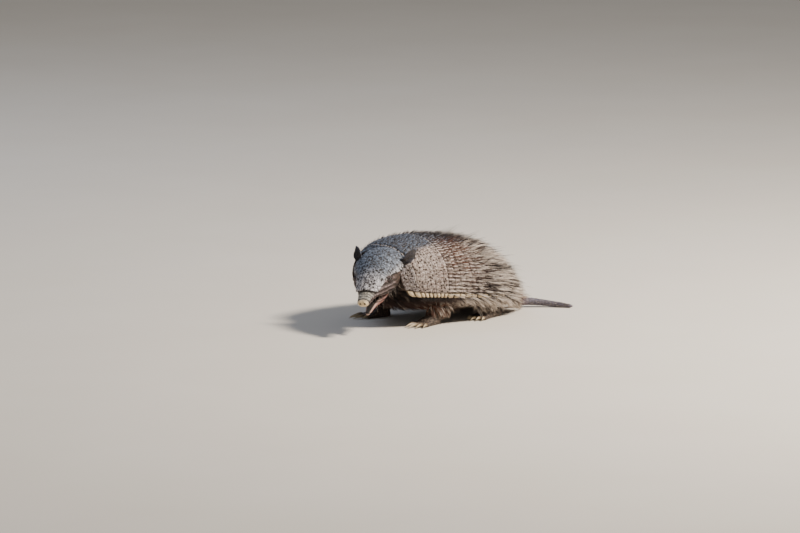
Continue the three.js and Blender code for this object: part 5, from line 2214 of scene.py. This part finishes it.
@dataclass
class Coat:
    """All the hair: bristles between the scutes, a fringe at the rim, and fur below."""

    armour: Armour
    surface: SkinSurface
    rim_tufts: int = 620
    tail_hairs: int = 900

    def build(self) -> list[Piece]:
        """Grows every piece of the coat."""
        return [*self.back(), *self.fringe(), *self.under(), self.tail()]

    def back(self) -> list[Piece]:
        """Bristles on the back: short and dark in front, long and pale towards the rear."""
        pieces = []
        for seed, plan in enumerate(BRISTLES, start=40):
            roots = self.armour.hair_roots(plan.first, plan.last, plan.row, plan.spacing, seed)
            along, share = roots.patch[:, 1], np.abs(roots.patch[:, 0]) / 135
            rng = np.random.default_rng(seed)
            length = 8 + 15 * ease(30, 150, along)
            length = length * rng.uniform(0.55, 1.3, len(along)) * (1 - 0.35 * ease(190, 216, along))
            length = length + plan.longer * (1 - ease(0.4, 0.75, share))
            pale = Markings.pale(roots.points) + np.where(rng.random(len(along)) < 0.48, -0.7, 0.2)
            pale = pale - 0.6 * ease(0.5, 0.25, share) * ease(110, 60, along)
            pale = pale - 0.45 * ease(0.34, 0.16, share) * ease(175, 120, along)
            saddle = bump(86, 34, along) * bump(0.45, 0.28, share)
            ruddy = np.maximum(0.3 * Markings.ruddy(roots.points), saddle) * ease(0.08, 0.3, share)
            pale = np.clip(pale - 0.4 * ruddy, 0, 1)
            pieces.append(plan.hair.grow(plan.name, roots, length, pale, ruddy, seed))
        return pieces

    def fringe(self) -> list[Piece]:
        """Hair from under both rims: short and dark in front, then long, pale and laid along the rim."""
        pieces = []
        hair = Hair(0.8, 8, spread=1.2, fan=5, droop=0.18, clump=0.6, segments=4)
        for seed, (word, hand) in enumerate((("left", 1), ("right", -1)), start=60):
            rng = np.random.default_rng(seed)
            along = rng.uniform(20, 212, self.rim_tufts)
            around = hand * rng.uniform(0.95, 0.995, self.rim_tufts)
            points, normals, rearward = shell_frame(along, around, 1.6)
            rear = ease(60, 110, along)
            lies = unit(rearward * (0.45 + 1.2 * rear)[:, None] + [0, 0, -0.6] + 0.25 * normals)
            roots = Roots(points, normals, lies, np.stack([hand * around * 130, along], axis=1))
            length = (9 + 15 * rear) * rng.uniform(0.6, 1.2, self.rim_tufts)
            dark = np.where(rng.random(self.rim_tufts) < 0.35, -0.4, 0.1)
            pale = np.clip(0.1 + 0.75 * rear + dark, 0, 1)
            ruddy = 0.5 * Markings.ruddy(points)
            pieces.append(hair.grow(f"fringe_{word}", roots, length, pale, ruddy, seed))
        return pieces

    def furs(self) -> list[Fur]:
        """Fur on the belly, the legs, the neck, the cheeks and the feet."""
        surface = self.surface
        height, upward = surface.points[:, 2], surface.normals[:, 2]
        over_rim = height - BODY.rim(SPINE.find(surface.points)[0])
        local = HEAD.at.into(surface.points)
        forward, over_jaw = local[:, 1], local[:, 2] + 4 - 0.25 * local[:, 1]
        under_rim = ease(14, 2, over_rim)
        trunk = surface.share(Flesh.TRUNK) * ease(60, 44, over_rim) * ease(0.75, 0.4, upward) * under_rim
        leg = surface.share(Flesh.LEG) * (1 - ease(24, 12, height)) * ease(12, 2, over_rim)
        neck = surface.share(Flesh.NECK)
        cheek = surface.share(Flesh.HEAD, Flesh.JAW) * ease(2.0, -6.0, over_jaw) * ease(-60, -40, forward)
        cheek = cheek * ease(3.0, 8.0, HEAD.eye_distance(local))
        foot = surface.share(Flesh.FOOT) * ease(2.5, 5.0, height)
        throat = surface.share(Flesh.HEAD, Flesh.JAW, Flesh.NECK) * ease(-0.2, -0.7, upward)
        throat = throat * ease(-62, -50, forward) * ease(14, 2, forward)
        nape = neck * ease(0.3, 0.7, upward) * ease(16, 22, forward)
        sides = neck * ease(0.9, 0.3, upward)
        tuft = Hair(0.9, 18, 4, 1.8, 7, clump=0.6, segments=4)
        return [
            Fur("fur_belly", trunk, 3.6, 15, 28, tuft, Flows.belly),
            Fur("fur_legs", leg, 2.6, 9, 16, Hair(0.8, 22, 4, 1.6, 8, 0.4, clump=0.5), Flows.leg, 0.08),
            Fur("fur_neck", sides, 3.0, 5, 10, Hair(0.55, 26, 3, 1.4, droop=0.5, clump=0.4), Flows.neck),
            Fur("fur_nape", nape, 2.6, 4, 7, Hair(0.45, 34, 2, 1.0, droop=0.0), Flows.neck, -0.2),
            Fur("fur_cheeks", cheek, 2.4, 2.2, 4.5, Hair(0.24, 24, 2, 1.0), Flows.face),
            Fur("fur_feet", foot, 1.7, 1.8, 3.6, Hair(0.26, 20, 2), Flows.foot),
            Fur("bristles_throat", throat, 8.5, 9, 16, Hair(0.42, 50, 1, 0.9, 16, 0.5), Flows.neck, 0.75),
        ]

    def under(self) -> list[Piece]:
        """Grows the fur: paler towards the rear and darker in front, partly as painted shade under the neck
        and chest, with some tufts paler still, and shorter near the floor.
        """
        pieces = []
        for seed, fur in enumerate(self.furs(), start=70):
            roots = self.surface.roots(fur.density, fur.spacing, fur.flow, seed)
            rng = np.random.default_rng(seed)
            count = len(roots.points)
            length = fur.shortest + (fur.longest - fur.shortest) * rng.random(count)
            length = length * (0.6 + 0.4 * ease(8, 26, roots.points[:, 2]))
            # fur darker towards the front: its own colour, darkened further as painted shade under the neck
            # and chest
            rear = ease(10, 90, SPINE.find(roots.points)[0])
            pale = 0.36 * rear + fur.paler + 0.16 * noise(roots.points, 7, seed)
            pale = np.clip(pale + np.where(rng.random(count) < 0.12 + 0.3 * rear, 0.5, 0.0), 0, 1)
            pieces.append(fur.hair.grow(fur.name, roots, length, pale, Markings.ruddy(roots.points), seed))
        return pieces

    def tail(self) -> Piece:
        """Sparse hairs from behind the tail's scutes."""
        seed = 90
        tail = Tail()
        line, share = tail.middle_line()
        rng = np.random.default_rng(seed)
        at = rng.uniform(0.12, 0.97, self.tail_hairs)
        angle = rng.uniform(0, 2 * math.pi, self.tail_hairs)
        middle = np.stack([np.interp(at, share, line[:, k]) for k in range(3)], axis=1)
        ahead = unit(np.stack([np.interp(at, share, np.gradient(line[:, k])) for k in range(3)], axis=1))
        left = unit(np.cross([0, 0, 1.0], ahead))
        normals = left * np.cos(angle)[:, None] + np.cross(ahead, left) * np.sin(angle)[:, None]
        points = middle + tail.radius(at)[:, None] * normals
        roots = Roots(points, normals, ahead, np.stack([angle * 5, at * 110], axis=1))
        roots = roots.kept(points[:, 2] > 1.5)
        length = rng.uniform(2.5, 5.0, len(roots.points))
        pale = rng.uniform(0.2, 0.9, len(roots.points))
        return Hair(0.24, 16, strands=2, spread=0.8).grow("hair_tail", roots, length, pale, 0 * pale, seed)


# ---------------------------------------------------------------- studio


@dataclass(frozen=True)
class Lamp:
    """A square area lamp: where it stands by the camera's axes, how far off, its size, power and colour."""

    name: str
    right: float
    up: float
    back: float
    distance: float
    size: float
    watts: float
    code: str
    aim: tuple[float, float, float] = (0.0, 0.0, 50.0)


LAMPS = (
    Lamp("key_light", 0.80, 0.72, 0.32, 2300, 380, 128.0, "fff6ea"),
    Lamp("fill_light", -0.55, 0.5, 0.8, 2600, 1800, 4.5, "dfe8ff"),
    Lamp("back_light", -0.5, 0.9, -0.5, 2600, 1400, 16.0, "c8dcff"),
)


@dataclass
class Studio:
    """A pale floor, soft light from one side, and a camera low down and far off."""

    azimuth: float = 54.0
    elevation: float = 9.5
    distance: float = 8000.0
    pixels_per_mm: float = 0.75
    origin: tuple[float, float] = (439.89, 316.3)
    frame: tuple[int, int] = (800, 533)
    sensor: float = 36.0
    far_clip: float = 60.0
    sky_strength: float = 0.3
    floor_reach: float = 9000.0
    floor_drop: float = 0.05

    def axes(self) -> tuple[Array, Array, Array]:
        """The camera's right, up and backward directions."""
        a, e = math.radians(self.azimuth), math.radians(self.elevation)
        right = np.array([math.cos(a), math.sin(a), 0.0])
        up = np.array([-math.sin(a) * math.sin(e), math.cos(a) * math.sin(e), math.cos(e)])
        return right, up, np.cross(right, up)

    def build(self) -> None:
        """Sets the camera, the lights, the floor and the sky."""
        right, up, back = self.axes()
        across = (self.frame[0] / 2 - self.origin[0]) / self.pixels_per_mm
        above = (self.origin[1] - self.frame[1] / 2) / self.pixels_per_mm
        aim = right * across + up * above
        lens = bpy.data.cameras.new("camera")
        lens.sensor_width = self.sensor
        lens.lens = self.sensor * self.distance * self.pixels_per_mm / self.frame[0]
        lens.clip_end = self.far_clip
        camera = self.stand("camera", lens, right, up, aim + back * self.distance)
        bpy.context.scene.camera = camera
        for lamp in LAMPS:
            self.light(lamp, right * lamp.right + up * lamp.up + back * lamp.back)
        self.sky()
        self.floor()

    @staticmethod
    def stand(name: str, data: bpy.types.ID, right: Array, up: Array, at: Array) -> Piece:
        """Stands a camera or a lamp at a place, with its right and up directions."""
        made = bpy.data.objects.new(name, data)
        bpy.context.scene.collection.objects.link(made)
        back = np.cross(right, up)
        rows = [[right[k], up[k], back[k], at[k] * MM] for k in range(3)]
        made.matrix_world = Matrix([*rows, [0.0, 0.0, 0.0, 1.0]])
        return made

    def light(self, lamp: Lamp, towards: Array) -> None:
        """Makes a lamp that faces the animal."""
        light = bpy.data.lights.new(lamp.name, "AREA")
        light.size, light.energy, light.color = lamp.size * MM, lamp.watts, colour(lamp.code)[:3]
        back = unit(towards)
        right = unit(np.cross([0.0, 0.0, 1.0], back))
        self.stand(lamp.name, light, right, np.cross(back, right), np.array(lamp.aim) + back * lamp.distance)

    def sky(self) -> None:
        """An even, pale sky."""
        world = bpy.data.worlds.new("sky")
        world.use_nodes = True
        shade = world.node_tree.nodes["Background"]
        shade.inputs["Color"].default_value = colour("e9ebee")
        shade.inputs["Strength"].default_value = self.sky_strength
        bpy.context.scene.world = world

    def floor(self) -> None:
        """A wide, plain, pale floor."""
        ends = np.array([-self.floor_reach, self.floor_reach])
        points = xyz(ends, ends[:, None], -self.floor_drop)
        floor = add_piece("floor", points, [np.array([[0, 1, 3, 2]])])
        made, tree, shader = material("pale_floor")
        tree.fill(shader.inputs["Base Color"], tree.mix(tree.noise(220.0, 2.0), "cfc7bb", "d6cfc4"))
        shader.inputs["Roughness"].default_value = 0.9
        floor.data.materials.append(made)


# ---------------------------------------------------------------- the whole


def dress(piece: Piece, finish: bpy.types.Material, nodes: Sequence[str] = ()) -> None:
    """Gives a piece its material, puts it under the root, and hides the frame parts that it stands for."""
    piece.data.materials.append(finish)
    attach(piece, "root")
    if nodes:
        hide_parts(*nodes)


LIMBS = [f"{end}{part}" for end in ("fore", "hind") for part in ("leg", "foot")]
PAIRED_NODES = [f"{part}_{word}" for part in ("ear", *LIMBS) for word in ("left", "right")]
FLESH_NODES = ["trunk", "neck", "head", "lower_jaw", *PAIRED_NODES]


def main() -> None:
    """Builds the animal around the frame, then the studio."""
    logging.basicConfig(level=logging.INFO, format="%(message)s", stream=sys.stdout, force=True)
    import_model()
    effects = SharedEffects.build()

    armour = Armour()
    plate_finish = PlateFinish(effects).build()
    for name, plate in armour.build().items():
        dress(plate, plate_finish, [name])
    dress(HeadShield().build(), ShieldFinish(effects).build(), ["head_shield"])
    dress(Tail().build(), TailFinish(effects).build(), ["tail_base", "tail_tip"])
    claw_finish = ClawFinish(effects).build()
    for name, claw in Claws().build().items():
        dress(claw, claw_finish, [name])
    eye_finish = EyeFinish().build()
    for name, eye in Eyes().build().items():
        dress(eye, eye_finish, [name])
    skin = Skin()
    hide = skin.build()
    dress(hide, HideFinish(effects).build(), FLESH_NODES)
    hair_finish = HairFinish().build()
    for tufts in Coat(armour, SkinSurface.read(hide, skin.nearness)).build():
        dress(tufts, hair_finish)

    Studio().build()


if __name__ == "__main__":
    main()
